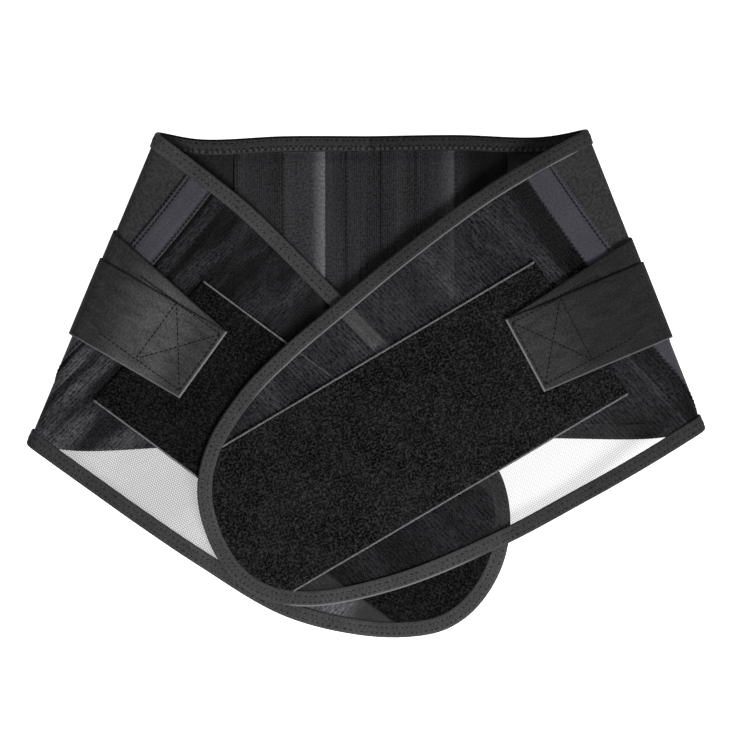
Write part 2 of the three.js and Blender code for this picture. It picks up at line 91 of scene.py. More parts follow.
def smoothstep(value: Array, low: float, high: float) -> Array:
    """Smooth 0 to 1 as value passes from low to high: t * t * (3 - 2 t)."""
    share = np.clip((np.asarray(value, float) - low) / (high - low), 0.0, 1.0)
    return share * share * (3.0 - 2.0 * share)


def lerp(start: Array, end: Array, share: Array) -> Array:
    """Straight mix of start and end by share."""
    return start + (end - start) * share


class Hand(Enum):
    """Which side of the belt, as it lies: the sign of its X."""

    LEFT = -1
    RIGHT = 1

    @property
    def word(self) -> str:
        """The side's name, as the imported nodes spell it."""
        return self.name.lower()


@dataclass(frozen=True)
class Layers:
    """Thicknesses of the cloths, and the levels of their faces off the middle of the cloth."""

    elastic: float = 1.2
    net: float = 1.0
    panel: float = 3.0
    channel: float = 1.0
    loop: float = 1.4
    hook: float = 1.1
    strap: float = 1.2
    tape: float = 1.0
    wall: float = 1.0
    seam_gap: float = 0.3
    loop_gap: float = 0.5
    tape_gap: float = 0.45
    binding_width: float = 12.0
    tuck: float = 0.4

    @property
    def elastic_face(self) -> float:
        """Level of the elastic's outer face."""
        return self.elastic / 2

    @property
    def slot_face(self) -> float:
        """Level of the inside of the binding's walls."""
        return self.elastic_face + self.seam_gap

    @property
    def binding_face(self) -> float:
        """Level of the outside of the binding's walls."""
        return self.slot_face + self.wall

    @property
    def tape_base(self) -> float:
        """Level of the underside of the side channel's tape."""
        return self.elastic_face + self.tape_gap

    @property
    def loop_base(self) -> float:
        """Level of the back of the loop pile."""
        return self.net / 2 + self.loop_gap

    @property
    def hook_base(self) -> float:
        """Level of the underside of a hook patch."""
        return self.loop_base + self.loop + self.seam_gap

    @property
    def strap_base_back(self) -> float:
        """Level of the underside of the inner strap band behind the back panel."""
        return self.elastic_face + self.seam_gap

    @property
    def strap_base_front(self) -> float:
        """Level of the underside of the inner strap band on the wing."""
        return self.hook_base + self.hook + self.seam_gap

    @property
    def strap_pitch(self) -> float:
        """Rise from one strap band to the one over it."""
        return self.strap + self.seam_gap

    @property
    def back_level(self) -> float:
        """Height of the middle of the back panel's outer cloth off the floor."""
        return self.strap_base_back + self.strap_pitch + self.strap


@dataclass(frozen=True)
class BackShape:
    """Outline of the belt's back, the same for both sides."""

    centre: float = 3.5
    top: float = 191.0
    height: float = 236.4
    panel_width: float = 210.0
    upper_dips: tuple[tuple[float, float], ...] = ((0.4, 0.004), (0.8, 0.018))
    lower_dips: tuple[tuple[float, float], ...] = ((0.5, 0.008), (0.87, 0.022))


@dataclass(frozen=True)
class SideShape:
    """Sizes of one side: its fold, its wing and how the wing comes down to what it lies on."""

    hand: Hand
    corner: tuple[float, float]
    fold_tilt: float
    fold_length: float
    fold_radius: float
    wing_length: float
    fall_length: float
    lap_height: float
    wing: tuple[tuple[float, float], ...]
    over_back_height: float = 7.9
    droop_start: float = 8.0
    droop_length: float = 108.0
    lap_end: float = 113.0
    lap_slope: float = 68.0
    seam: Triple = (54.0, -0.225, -0.00052)
    ripple: float = 0.4


LEFT_SHAPE = SideShape(
    hand=Hand.LEFT, corner=(-159.8, 193.3), fold_tilt=22.6, fold_length=260.0, fold_radius=7.0,
    wing_length=374.5, fall_length=110.0, lap_height=0.0,
    wing=((0.118, 0.047), (0.232, 0.094), (0.366, 0.17), (0.487, 0.243), (0.62, 0.325), (0.75, 0.405),
          (0.86, 0.482), (0.93, 0.558), (0.978, 0.668), (0.997, 0.8), (0.981, 0.938), (0.94, 1.032),
          (0.87, 1.099), (0.762, 1.153), (0.614, 1.18), (0.415, 1.139), (0.278, 1.099), (0.139, 1.051)),
)
RIGHT_SHAPE = SideShape(
    hand=Hand.RIGHT, corner=(169.0, 195.6), fold_tilt=21.5, fold_length=248.3, fold_radius=9.0,
    wing_length=383.5, fall_length=130.0, lap_height=4.9, seam=(54.0, -0.2, -0.0004),
    wing=((0.102, 0.021), (0.24, 0.056), (0.434, 0.136), (0.583, 0.211), (0.731, 0.289), (0.835, 0.362),
          (0.937, 0.477), (0.99, 0.6), (1.006, 0.735), (0.994, 0.876), (0.95, 0.985), (0.864, 1.064),
          (0.684, 1.114), (0.454, 1.107), (0.266, 1.073), (0.139, 1.043)),
)


class Ground(Protocol):
    """A cloth that pieces lie on: it turns pattern lengths and a level into a place."""

    def point(self, across: Array, down: Array, level: Array) -> Array:
        """Places in space."""
        ...


def smooth_curve(points: Array, count: int) -> Array:
    """Even samples of the smooth open curve through some points.

    Each stretch is a cubic whose end slopes come from the three chords round it, timed by the square root
    of their lengths; samples are then spread evenly by length.

    Args:
        points: the points passed through, one row each.
        count: how many samples.

    Returns:
        The samples, one row each.
    """
    padded = np.vstack([2 * points[0] - points[1], points, 2 * points[-1] - points[-2]])
    p0, p1, p2, p3 = padded[:-3], padded[1:-2], padded[2:-1], padded[3:]
    d0, d1, d2 = (np.sqrt(np.linalg.norm(b - a, axis=1))[:, None] for a, b in ((p0, p1), (p1, p2), (p2, p3)))
    out = ((p1 - p0) / d0 - (p2 - p0) / (d0 + d1) + (p2 - p1) / d1) * d1
    into = ((p2 - p1) / d1 - (p3 - p1) / (d1 + d2) + (p3 - p2) / d2) * d1
    t = np.linspace(0, 1, CURVE_STEPS + 1)[None, :-1, None]
    cubic = (
        p1[:, None] + out[:, None] * t
        + (3 * (p2 - p1) - 2 * out - into)[:, None] * t**2
        + (2 * (p1 - p2) + out + into)[:, None] * t**3
    )
    dense = np.vstack([cubic.reshape(-1, points.shape[1]), points[-1:]])
    run = np.concatenate([[0], np.cumsum(np.linalg.norm(np.diff(dense, axis=0), axis=1))])
    even = np.linspace(0, run[-1], count)
    return np.stack([np.interp(even, run, dense[:, k]) for k in range(points.shape[1])], axis=1)


class BeltSide:
    """One side of the belt: where any place of its cloth lies."""

    SAMPLES = 1401
    STEP = 0.4
    RIPPLE_FADE = (20.0, 90.0)
    FOLD_BLEND = 12.0
    TRIES = 240
    BATCHES = 24

    def __init__(self, shape: SideShape, back: BackShape, layers: Layers) -> None:
        """Works out the side's fold lines and its outline.

        Args:
            shape: the side's sizes.
            back: the back's outline.
            layers: thicknesses of the cloths.
        """
        self.shape, self.back, self.layers = shape, back, layers
        self.hand = shape.hand.value
        tilt = math.radians(shape.fold_tilt)
        self.corner = np.array(shape.corner)
        self.along = np.array([self.hand * math.sin(tilt), -math.cos(tilt)])
        self.inward = np.array([-self.hand * math.cos(tilt), -math.sin(tilt)])
        self.quarter = shape.fold_radius * math.pi / 2
        self.slack = self.quarter - shape.fold_radius
        self.outline = self._trace()
        step = np.gradient(self.outline, axis=0)
        step /= np.linalg.norm(step, axis=1)[:, None]
        self.inner = np.stack([-step[:, 1], step[:, 0]], axis=1)
        self.tip = int(np.argmax(self.outline[:, 0]))
        self.run = np.concatenate([[0], np.cumsum(np.linalg.norm(np.diff(self.outline, axis=0), axis=1))])

    @property
    def word(self) -> str:
        """The side's name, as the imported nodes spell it."""
        return self.shape.hand.word

    def plan(self, distance: Array, down: Array) -> Array:
        """Plan position of a distance in from the fold and a distance down along it."""
        distance, down = np.broadcast_arrays(distance, down)
        return self.corner + distance[..., None] * self.inward + down[..., None] * self.along

    def pattern_of_back(self, spot: Array) -> Array:
        """Pattern position of a plan position on the back."""
        offset = spot - self.corner
        return np.stack([-(offset @ self.inward + self.slack), offset @ self.along], axis=-1)

    def ripple(self, spot: Array, distance: Array) -> Array:
        """Slow waves of the cloth past the fold: one sine of the plan position times another."""
        x, y = spot[..., 0], spot[..., 1]
        wave = np.sin(0.041 * x + 0.023 * y * self.hand + 1.3) * np.cos(0.034 * y - 0.017 * x * self.hand)
        return self.shape.ripple * (1 + wave) * smoothstep(distance, *self.RIPPLE_FADE)

    def wing_height(self, spot: Array, distance: Array) -> Array:
        """Height of the wing's cloth: high at the fold, then down to the back, the other wing or the floor.

        Args:
            spot: plan positions.
            distance: how far each lies past the bend.

        Returns:
            Heights of the middle of the cloth, with its slow waves.
        """
        s = self.shape
        edge = self.back.top - self.back.height
        over_back = smoothstep(spot[..., 1], edge + s.droop_start - s.droop_length, edge + s.droop_start)
        over_wing = 1 - smoothstep(spot[..., 0], s.lap_end, s.lap_end + s.lap_slope)
        rest = self.layers.binding_face + s.over_back_height * over_back + s.lap_height * over_wing
        top = self.layers.back_level + 2 * s.fold_radius
        return lerp(top, rest + self.ripple(spot, distance), smoothstep(distance, 0, s.fall_length))

    def surface(self, across: Array, down: Array) -> Array:
        """Middle of the cloth: half a round bend at the fold, the back on one side, the wing on the other.

        Args:
            across: pattern lengths from the fold.
            down: pattern lengths along the fold.

        Returns:
            Places in space, one more axis than the arguments.
        """
        across, down = np.broadcast_arrays(np.asarray(across, float), np.asarray(down, float))
        radius, reach = self.shape.fold_radius, np.abs(across)
        angle = np.clip(across / radius, -math.pi / 2, math.pi / 2)
        bent = reach < self.quarter
        distance = np.where(bent, radius * (1 - np.cos(angle)), reach - self.slack)
        spot = self.plan(distance, down)
        flat = np.where(across > 0, self.wing_height(spot, distance - radius), self.layers.back_level)
        height = np.where(bent, self.layers.back_level + radius * (1 + np.sin(angle)), flat)
        return np.concatenate([spot, height[..., None]], axis=-1)

    def point(self, across: Array, down: Array, level: Array) -> Array:
        """Place at a level off the cloth, along the cross product of the cloth's two slopes."""
        h = self.STEP
        slope = self.surface(across + h, down) - self.surface(across - h, down)
        fall = self.surface(across, down + h) - self.surface(across, down - h)
        normal = np.cross(slope, fall) * self.hand
        normal /= np.linalg.norm(normal, axis=-1, keepdims=True)
        level = np.broadcast_to(level, normal.shape[:-1])
        return self.surface(across, down) + normal * level[..., None]

    def _trace(self) -> Array:
        """Belt's edge in pattern lengths, from the back's centre over the fold, round the wing and back."""
        s, back = self.shape, self.back

        def half(centre_y: float, end: Array, dips: Sequence[tuple[float, float]]) -> Array:
            """Back edge from the centre to a corner of the fold, dipping below the straight line."""
            out, dip = np.array([(0.0, 0.0), *dips]).T
            x = lerp(back.centre, end[0], out)
            y = lerp(centre_y, end[1], out) - dip * back.height
            return self.pattern_of_back(np.stack([x, y], axis=-1))

        upper = half(back.top, self.corner, back.upper_dips)
        foot = self.plan(np.array(0.0), np.array(s.fold_length))
        lower = half(back.top - back.height, foot, back.lower_dips)
        wing = np.array(s.wing) * [s.wing_length, s.fold_length] + [self.slack, 0.0]
        rows = [upper, [[0.0, 0.0]], wing, [[0.0, s.fold_length]], lower[::-1]]
        return smooth_curve(np.vstack(rows), self.SAMPLES)

    def trimmed(self, inset: float) -> Array:
        """Outline moved into the cloth by a distance."""
        return self.outline + self.inner * inset

    def border(self, lower: bool, inset: float = 0.0) -> Array:
        """Upper or lower part of the outline from the back's centre to the tip, moved in by a distance."""
        edge = self.trimmed(inset)
        return edge[self.tip:][::-1] if lower else edge[: self.tip]

    def edge_down(self, across: Array, lower: bool, inset: float) -> Array:
        """"Down" of the cloth's upper or lower edge at some "across" on the back or near the fold."""
        part = self.border(lower, inset)
        return np.interp(across, part[:, 0], part[:, 1])

    def seam_across(self, down: Array) -> Array:
        """"Across" of the seam between elastic and net: a parabola that goes round the fold at its foot."""
        start, slope, curve = self.shape.seam
        return start + slope * np.asarray(down) + curve * np.square(down)

    def along_edge(self, run: Array, inset: Array) -> Pattern:
        """Pattern position a distance along the belt's edge and a distance in from it.

        Round the fold the way in is straight "down", so that the folded tape keeps its width there.

        Args:
            run: distances along the edge from the back's centre.
            inset: distances in from the edge.

        Returns:
            "Across" and "down".
        """
        run, inset = np.broadcast_arrays(run, inset)
        edge, inner = (np.stack([np.interp(run, self.run, a[:, k]) for k in (0, 1)], axis=-1)
                       for a in (self.outline, self.inner))
        straight = smoothstep(np.abs(edge[..., 0]), self.quarter, self.quarter + self.FOLD_BLEND)
        way = np.stack([inner[..., 0] * straight, inner[..., 1]], axis=-1)
        way /= np.linalg.norm(way, axis=-1, keepdims=True)
        width = inset / np.sum(way * inner, axis=-1)
        spot = edge + way * width[..., None]
        return spot[..., 0], spot[..., 1]

    def reach(self, line: Callable[[Array], Pattern], start: Array, end: float, clear: float) -> Array:
        """How far lines can run before they come within a distance of the belt's edge.

        Args:
            line: gives the pattern positions of values, one row of values for each line.
            start: the first value of each line, which is clear.
            end: the last value tried.
            clear: the distance kept from the edge.

        Returns:
            The last clear value of each line.
        """
        values = lerp(np.asarray(start, float)[:, None], end, np.linspace(0, 1, self.TRIES)[None])
        across, down = line(values)
        spots = np.stack([across, down], axis=-1).reshape(-1, 1, 2)
        edge = self.outline[None, ::2]
        parts = np.array_split(spots, self.BATCHES)
        gap = np.concatenate([np.sqrt(((part - edge) ** 2).sum(-1)).min(1) for part in parts])
        gap = gap.reshape(values.shape)
        first = np.argmax(gap < clear, axis=1)
        rows = np.arange(len(values))
        before, after = gap[rows, first - 1], gap[rows, first]
        return lerp(values[rows, first - 1], values[rows, first], (before - clear) / (before - after))


class Back:
    """The flat middle of the belt, seen from its inner face."""

    def __init__(self, left: BeltSide, right: BeltSide) -> None:
        """Reads the back's upper and lower edge off both sides' outlines.

        Args:
            left: the left side.
            right: the right side.
        """
        self.shape, self.layers = right.back, right.layers
        self.edges = []
        for lower in (False, True):
            halves = []
            for side in (left, right):
                part = side.border(lower)
                part = part[part[:, 0] < -side.quarter]
                halves.append(side.plan(-part[:, 0] - side.slack, part[:, 1]))
            self.edges.append(np.vstack([halves[0][::-1], halves[1]]))
        self.trim = self.layers.wall + self.layers.seam_gap
        self.length = self.shape.height - 2 * self.trim

    def point(self, across: Array, row: Array, level: Array) -> Array:
        """Place from X off the centre, a distance below the trimmed upper edge, and a level."""
        x = self.shape.centre + across
        top = np.interp(x, self.edges[0][:, 0], self.edges[0][:, 1]) - self.trim
        bottom = np.interp(x, self.edges[1][:, 0], self.edges[1][:, 1]) + self.trim
        x, y, z = np.broadcast_arrays(x, lerp(top, bottom, row / self.length), self.layers.back_level - level)
        return np.stack([x, y, z], axis=-1)


@dataclass
class Gathered:
    """Vertices, faces and pattern places of one piece, gathered part by part."""

    points: list[Array] = field(default_factory=list)
    faces: list[Array] = field(default_factory=list)
    places: list[Array] = field(default_factory=list)
    count: int = 0

    def add(self, points: Array, faces: Array, places: Array) -> None:
        """Adds a part: its vertices, its quads counted from nought, and a pattern place for each vertex."""
        self.points.append(points.reshape(-1, 3))
        self.faces.append(faces.reshape(-1, 4) + self.count)
        self.places.append(places.reshape(-1, 2))
        self.count += len(self.points[-1])

    def build(self, name: str, material: Material) -> Piece:
        """Makes the piece, in metres, with its pattern places as its UV map, and lets it ride on the belt.

        Args:
            name: the piece's name.
            material: its finish.

        Returns:
            The object.
        """
        mesh = bpy.data.meshes.new(name)
        points, faces = np.vstack(self.points), np.vstack(self.faces)
        mesh.from_pydata((points + SHIFT) * METRES, [], faces)
        corners = np.empty(len(mesh.loops), np.int32)
        mesh.loops.foreach_get("vertex_index", corners)
        layer = mesh.uv_layers.new(name="UVMap")
        layer.data.foreach_set("uv", (np.vstack(self.places)[corners] / UV_UNIT).astype(np.float32).ravel())
        mesh.polygons.foreach_set("use_smooth", np.ones(len(mesh.polygons), bool))
        mesh.materials.append(material)
        mesh.update()
        piece = bpy.data.objects.new(name, mesh)
        bpy.context.scene.collection.objects.link(piece)
        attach(piece, "root")
        return piece


def grid_faces(rows: int, columns: int, wrap: bool = False) -> Array:
    """Quads of a grid of vertices counted row by row, the last column joined to the first if wrapped."""
    i, j = np.meshgrid(np.arange(rows - 1), np.arange(columns if wrap else columns - 1), indexing="ij")
    a, b = i * columns + j, i * columns + (j + 1) % columns
    return np.stack([a, b, b + columns, a + columns], axis=-1).reshape(-1, 4)


def outward(points: Array, faces: Array) -> Array:
    """Faces of a closed shell, reversed where their signed volume is below nothing."""
    a, b, c, d = (points.reshape(-1, 3)[faces[:, k]] for k in range(4))
    middle = points.reshape(-1, 3).mean(0)
    volume = np.einsum("ij,ij->", a - middle, np.cross(b - middle, c - middle))
    volume += np.einsum("ij,ij->", a - middle, np.cross(c - middle, d - middle))
    return faces[:, ::-1] if volume < 0 else faces


def eased(length: float, step: float, rim: float) -> Array:
    """Shares from 0 to 1 along a length, crowded over a rounded rim at both ends."""
    edge = rim * (1 - np.cos(np.linspace(0, math.pi / 2, RIM_LINES))) / length
    inner = np.linspace(edge[-1], 1 - edge[-1], max(2, int(round((length - 2 * rim) / step)) + 1))
    return np.concatenate([edge[:-1], inner, 1 - edge[:-1][::-1]])


def rim_share(u: Array, v: Array, size: tuple[float, float], rim: float) -> Array:
    """Thickness share near a sheet's borders: a quarter circle rise over the rim, on each border."""
    near = [np.clip(np.minimum(w, 1 - w) * length / rim, 0, 1) for w, length in zip((u, v), size)]
    round_off = [np.sqrt(np.clip(1 - (1 - n) ** 2, 0, 1)) for n in near]
    return RIM_LEAST + (1 - RIM_LEAST) * round_off[0] * round_off[1]


def cloth(
    gathered: Gathered,
    ground: Ground,
    pattern: Places,
    size: tuple[float, float],
    levels: tuple[Level, Level],
    step: float = 3.0,
    rim: float = 0.7,
    mapping: Optional[Places] = None,
    shares: Optional[Pattern] = None,
) -> None:
    """Closed sheet between two levels of a cloth, with rounded borders.

    The grid's places are pattern(u, v) at lower and upper levels; the two layers pull together towards
    their middle near the borders, and a band of quads joins them there.

    Args:
        gathered: takes the sheet.
        ground: the cloth that it lies on.
        pattern: gives pattern positions from shares u and v.
        size: lengths in millimetres along u and v.
        levels: lower and upper level from "across" and "down".
        step: spacing of the grid.
        rim: width of the rounding.
        mapping: gives the pattern places kept as UV from u and v; pattern itself if left out.
        shares: u and v lines of the grid, where an even grid won't do.
    """
    lines = shares or (eased(size[0], step, rim), eased(size[1], step, rim))
    u, v = np.meshgrid(*lines, indexing="ij")
    across, down = pattern(u, v)
    low, high = (np.broadcast_to(level(across, down), u.shape) for level in levels)
    middle, half = (low + high) / 2, (high - low) / 2 * rim_share(u, v, size, rim)
    points = np.stack([ground.point(across, down, middle - half), ground.point(across, down, middle + half)])
    rows, columns = u.shape
    layer = rows * columns
    sheet_faces = grid_faces(rows, columns)
    index = np.arange(layer).reshape(rows, columns)
    ring = np.concatenate([index[0, :-1], index[:-1, -1], index[-1, :0:-1], index[:0:-1, 0]])
    ahead = np.roll(ring, -1)
    band = np.stack([ring, ahead, ahead + layer, ring + layer], axis=-1)
    faces = np.vstack([sheet_faces[:, ::-1], sheet_faces + layer, band])
    places = np.stack((mapping or pattern)(u, v), axis=-1)
    gathered.add(points, outward(points, faces), np.stack([places, places]))


def level_of(value: float) -> Level:
    """Level that is the same all over."""
    return lambda across, down: np.full(np.shape(across), value)


def threads(
    gathered: Gathered, ground: Ground, across: Array, down: Array, level: float, radius: float
) -> None:
    """Short raised threads, one for each row of pattern positions.

    Each is a four sided tube round an arc that rises off its row as sin(pi t) and sinks into the cloth at
    both ends. Its corners lie along the cloth's normal and the cross product of that with the thread's run.

    Args:
        gathered: takes the threads.
        ground: the cloth.
        across: "across" of the points, one row for each thread.
        down: "down" of the points.
        level: level of the cloth's face; below nothing where the inner face is meant.
        radius: half the thread's thickness.
    """
    count, steps = across.shape
    sign = math.copysign(1.0, level)
    t = np.linspace(0, 1, steps)
    lift = level + sign * radius * (THREAD_RISE * np.sin(math.pi * t) - THREAD_SINK)
    path = ground.point(across, down, np.broadcast_to(lift, across.shape))
    normal = ground.point(across, down, np.broadcast_to(lift + sign, across.shape)) - path
    run = np.gradient(path, axis=1)
    aside = np.cross(run, normal)
    aside /= np.linalg.norm(aside, axis=-1, keepdims=True)
    full = np.sin(math.pi * np.clip(t, 0.02, 0.98)) ** 0.5
    thin = radius * (THREAD_END + (1 - THREAD_END) * full)[None, :, None]
    out, beside = normal * thin, aside * thin
    ring = np.stack([path + out, path + beside, path - out, path - beside], axis=2)
    faces = grid_faces(steps, 4, wrap=True)
    caps = np.array([[3, 2, 1, 0], np.arange(4) + 4 * (steps - 1)])
    one = outward(ring[0], np.vstack([faces, caps]))
    every = one[None] + (np.arange(count) * steps * 4)[:, None, None]
    places = np.stack([across, down], axis=-1)[:, :, None].repeat(4, axis=2)
    gathered.add(ring, every, places)


def running(line: Places, length: float, stitch: float = 2.7, gap: float = 0.7) -> Pattern:
    """Points of a running stitch: even stitches with gaps along line(run, 0)."""
    starts = np.arange(0, length - stitch, stitch + gap)
    run = starts[:, None] + np.linspace(0, stitch, STITCH_POINTS)[None]
    return line(run, np.zeros_like(run))


def zigzag(line: Places, length: float, rows: Span, pitch: float) -> Pattern:
    """Points of a zigzag stitch that swings between two rows of holes along line(run, offset)."""
    starts = np.arange(0, length - pitch, pitch / 2)
    t = np.linspace(0, 1, STITCH_POINTS)[None]
    run = starts[:, None] + t * pitch / 2
    even = (np.arange(len(starts)) % 2 == 0)[:, None]
    offset = np.where(even, lerp(rows[0], rows[1], t), lerp(rows[1], rows[0], t))
    return line(run, offset)


class Graph:
    """Nodes of one material."""

    def __init__(self, name: str) -> None:
        """Starts a material with no nodes.

        Args:
            name: the finish's name.
        """
        self.material = bpy.data.materials.new(name)
        self.material.use_nodes = True
        self.tree = self.material.node_tree
        self.tree.nodes.clear()

    def node(self, kind: str, inputs: Optional[dict] = None, **settings: str) -> bpy.types.Node:
        """Adds a node.

        Args:
            kind: the node's type.
            inputs: values or links of its sockets, by name or number.
            settings: its properties, set first.

        Returns:
            The node.
        """
        made = self.tree.nodes.new(kind)
        for key, value in settings.items():
            setattr(made, key, value)
        for key, value in (inputs or {}).items():
            value = value.socket if isinstance(value, Value) else value
            if isinstance(value, Socket):
                self.tree.links.new(value, made.inputs[key])
            else:
                made.inputs[key].default_value = value
        return made

    def pattern(self) -> tuple["Value", "Value"]:
        """The piece's own pattern place, in millimetres."""
        uv = self.node("ShaderNodeUVMap", uv_map="UVMap")
        parts = self.node("ShaderNodeSeparateXYZ", {0: uv.outputs["UV"]})
        return Value(self, parts.outputs["X"]) * UV_UNIT, Value(self, parts.outputs["Y"]) * UV_UNIT

    def vector(self, x: "Number", y: "Number") -> Socket:
        """A flat vector from two numbers."""
        return self.node("ShaderNodeCombineXYZ", {0: x, 1: y}).outputs[0]

    def noise(self, vector: Socket, scale: float, detail: float = 2.0) -> "Value":
        """Soft noise from 0 to 1, with so many blotches to a millimetre."""
        made = self.node("ShaderNodeTexNoise", {"Vector": vector, "Scale": scale, "Detail": detail})
        return Value(self, made.outputs["Fac"])

    def grain(self, vector: Socket, scale: float) -> "Value":
        """Hard edged noise from 0 to 1, half of it dark, with so many blotches to a millimetre."""
        return self.noise(vector, scale, 4.0).rise(0.34, 0.66)

    def mix(self, share: "Number", first: "Tint", second: "Tint") -> Socket:
        """Mix of two colours by a share."""
        ends = [(*c, 1.0) if isinstance(c, tuple) else c for c in (first, second)]
        made = self.node("ShaderNodeMix", {0: share, 6: ends[0], 7: ends[1]}, data_type="RGBA")
        return made.outputs[2]

    def paint_shade(self, colour: "Tint", place: "Value", painted_shades: Sequence[Triple]) -> "Tint":
        """Painted shade: a colour mixed towards black by a share, for each pair of places between which the
        share grows.
        """
        for low, high, depth in painted_shades:
            colour = self.mix(place.rise(low, high) * depth, colour, (0.002, 0.002, 0.002))
        return colour

    def finish(
        self,
        colour: "Tint",
        roughness: "Number",
        relief: Optional["Value"] = None,
        height: float = 0.1,
        strength: float = 1.0,
        specular: float = 0.2,
        glow: float = 0.0,
        alpha: Optional["Value"] = None,
    ) -> Material:
        """Closes the material with one cloth shader.

        Args:
            colour: base colour.
            roughness: roughness.
            relief: bump height from 0 to 1.
            height: what 1 stands for, in millimetres.
            strength: share of the bump that is felt.
            specular: how strongly the cloth glints.
            glow: strength of its own white light.
            alpha: cover of the cloth.

        Returns:
            The material.
        """
        inputs: dict = {"Base Color": (*colour, 1.0) if isinstance(colour, tuple) else colour,
                        "Roughness": roughness, "Specular IOR Level": specular,
                        "Emission Color": (1.0, 1.0, 1.0, 1.0), "Emission Strength": glow}
        if relief is not None:
            bump = self.node("ShaderNodeBump",
                             {"Height": relief, "Distance": height * METRES, "Strength": strength})
            inputs["Normal"] = bump.outputs["Normal"]
        if alpha is not None:
            inputs["Alpha"] = alpha
        shader = self.node("ShaderNodeBsdfPrincipled", inputs)
        self.node("ShaderNodeOutputMaterial", {"Surface": shader.outputs[0]})
        return self.material


class Value:
    """A number that varies over a surface; arithmetic on it adds Math nodes."""

    def __init__(self, graph: Graph, socket: Socket) -> None:
        """Wraps a socket.

        Args:
            graph: the material's nodes.
            socket: the socket that gives the number.
        """
        self.graph, self.socket = graph, socket

    def do(self, operation: str, *others: "Number") -> "Value":
        """Result of a Math node on this number and others."""
        made = self.graph.node("ShaderNodeMath", dict(enumerate((self, *others))), operation=operation)
        return Value(self.graph, made.outputs[0])

    def __add__(self, other: "Number") -> "Value":
        """Sum."""
        return self.do("ADD", other)

    __radd__ = __add__

    def __sub__(self, other: "Number") -> "Value":
        """Difference."""
        return self.do("SUBTRACT", other)

    def __rsub__(self, other: float) -> "Value":
        """Difference from a plain number."""
        made = self.graph.node("ShaderNodeMath", {0: other, 1: self}, operation="SUBTRACT")
        return Value(self.graph, made.outputs[0])

    def __mul__(self, other: "Number") -> "Value":
        """Product."""
        return self.do("MULTIPLY", other)

    def __truediv__(self, other: "Number") -> "Value":
        """Quotient."""
        return self.do("DIVIDE", other)

    def wave(self, pitch: float) -> "Value":
        """Sine from 0 to 1 that comes round once in each pitch."""
        return (self * (2 * math.pi / pitch)).do("SINE") * 0.5 + 0.5

    def rise(self, low: float, high: float) -> "Value":
        """Smooth 0 to 1 between two numbers, or 1 to 0 where low is the higher."""
        ends = {"Value": self, "From Min": min(low, high), "From Max": max(low, high)}
        made = self.graph.node("ShaderNodeMapRange", ends, interpolation_type="SMOOTHSTEP")
        value = Value(self.graph, made.outputs["Result"])
        return 1 - value if low > high else value

    def folded(self, pitch: float, start: float = 0.0) -> "Value":
        """Distance to the nearest of a row of places one pitch apart."""
        return ((self - start) / pitch + 0.5).do("FRACT").do("SUBTRACT", 0.5).do("ABSOLUTE") * pitch


Number = Union[Value, float]
Tint = Union[Colour, Socket]


@dataclass(frozen=True)
class RibbedCloth:
    """Woven or knitted cloth with fine ribs one way and a finer weave the other."""

    name: str
    dark: Colour
    light: Colour
    rib_pitch: float = 1.3
    weave_pitch: float = 0.7
    across_ribs: bool = False
    relief: float = 0.12
    rough: float = 0.85
    specular: float = 0.06
    ribs_share: float = 0.25
    mottle: float = 0.3
    grain: float = 0.45
    grain_scale: float = 0.55
    seam: Colour = (0.002, 0.002, 0.0022)
    painted_fold_shade: float = 0.0
    painted_highlight: Optional[tuple[float, float, Colour]] = None
    shade: Optional[Triple] = None
    lines: tuple[float, ...] = ()

    def build(self) -> Material:
        """Colour follows the ribs' crowns, soft blotches and a grain; the bump is ribs times weave.

        A painted fold shade adds slow light and dark bands that run down the cloth, for the shading of its
        folds.
        A painted highlight grows slowly from one X to a crest and falls sharply past it. A painted shade
        darkens the cloth by a share, in the seam colour, as X goes from one place to another. Lines are the
        places along
        Y of dark seams that run along the cloth.

        Returns:
            The material.
        """
        g = Graph(self.name)
        x, y = g.pattern()
        one, two = (y, x) if self.across_ribs else (x, y)
        ribs, weave = two.wave(self.rib_pitch), one.wave(self.weave_pitch)
        at = g.vector(x, y)
        blotch = g.noise(at, 0.035, 3.0)
        grain = g.grain(at, self.grain_scale)
        crown = ribs * 0.55 + weave * ribs * 0.45
        share = crown * self.ribs_share + blotch * self.mottle + grain * self.grain
        # Painted fold shade: slow light and dark bands down the cloth for the shading of its folds.
        if self.painted_fold_shade:
            share = share + (g.noise(g.vector(x * 0.075, y * 0.004), 1.0, 2.0) - 0.5) * self.painted_fold_shade
        colour = g.mix(share.do("MAXIMUM", 0.0).do("MINIMUM", 1.0), self.dark, self.light)
        # Painted highlight: a pale band that grows to a crest and drops sharply past it, where a ridge
        # catches the light.
        if self.painted_highlight:
            start, crest, pale = self.painted_highlight
            slope = x.rise(start, crest)
            band = slope * slope * x.rise(crest + 2.2, crest + 0.8)
            colour = g.mix(band * (grain * 0.4 + 0.5), colour, pale)
        for line in self.lines:
            dash = x.folded(3.4).rise(1.6, 0.7) * 0.6 + 0.3
            colour = g.mix((y - line).do("ABSOLUTE").rise(1.1, 0.3) * dash, colour, self.seam)
        # Painted shade: the cloth darkens towards the seam colour as X passes from low to high.
        if self.shade:
            low, high, depth = self.shade
            colour = g.mix(x.rise(low, high) * depth, colour, self.seam)
        return g.finish(colour, self.rough, crown * 0.6 + grain * 0.4, self.relief, specular=self.specular)


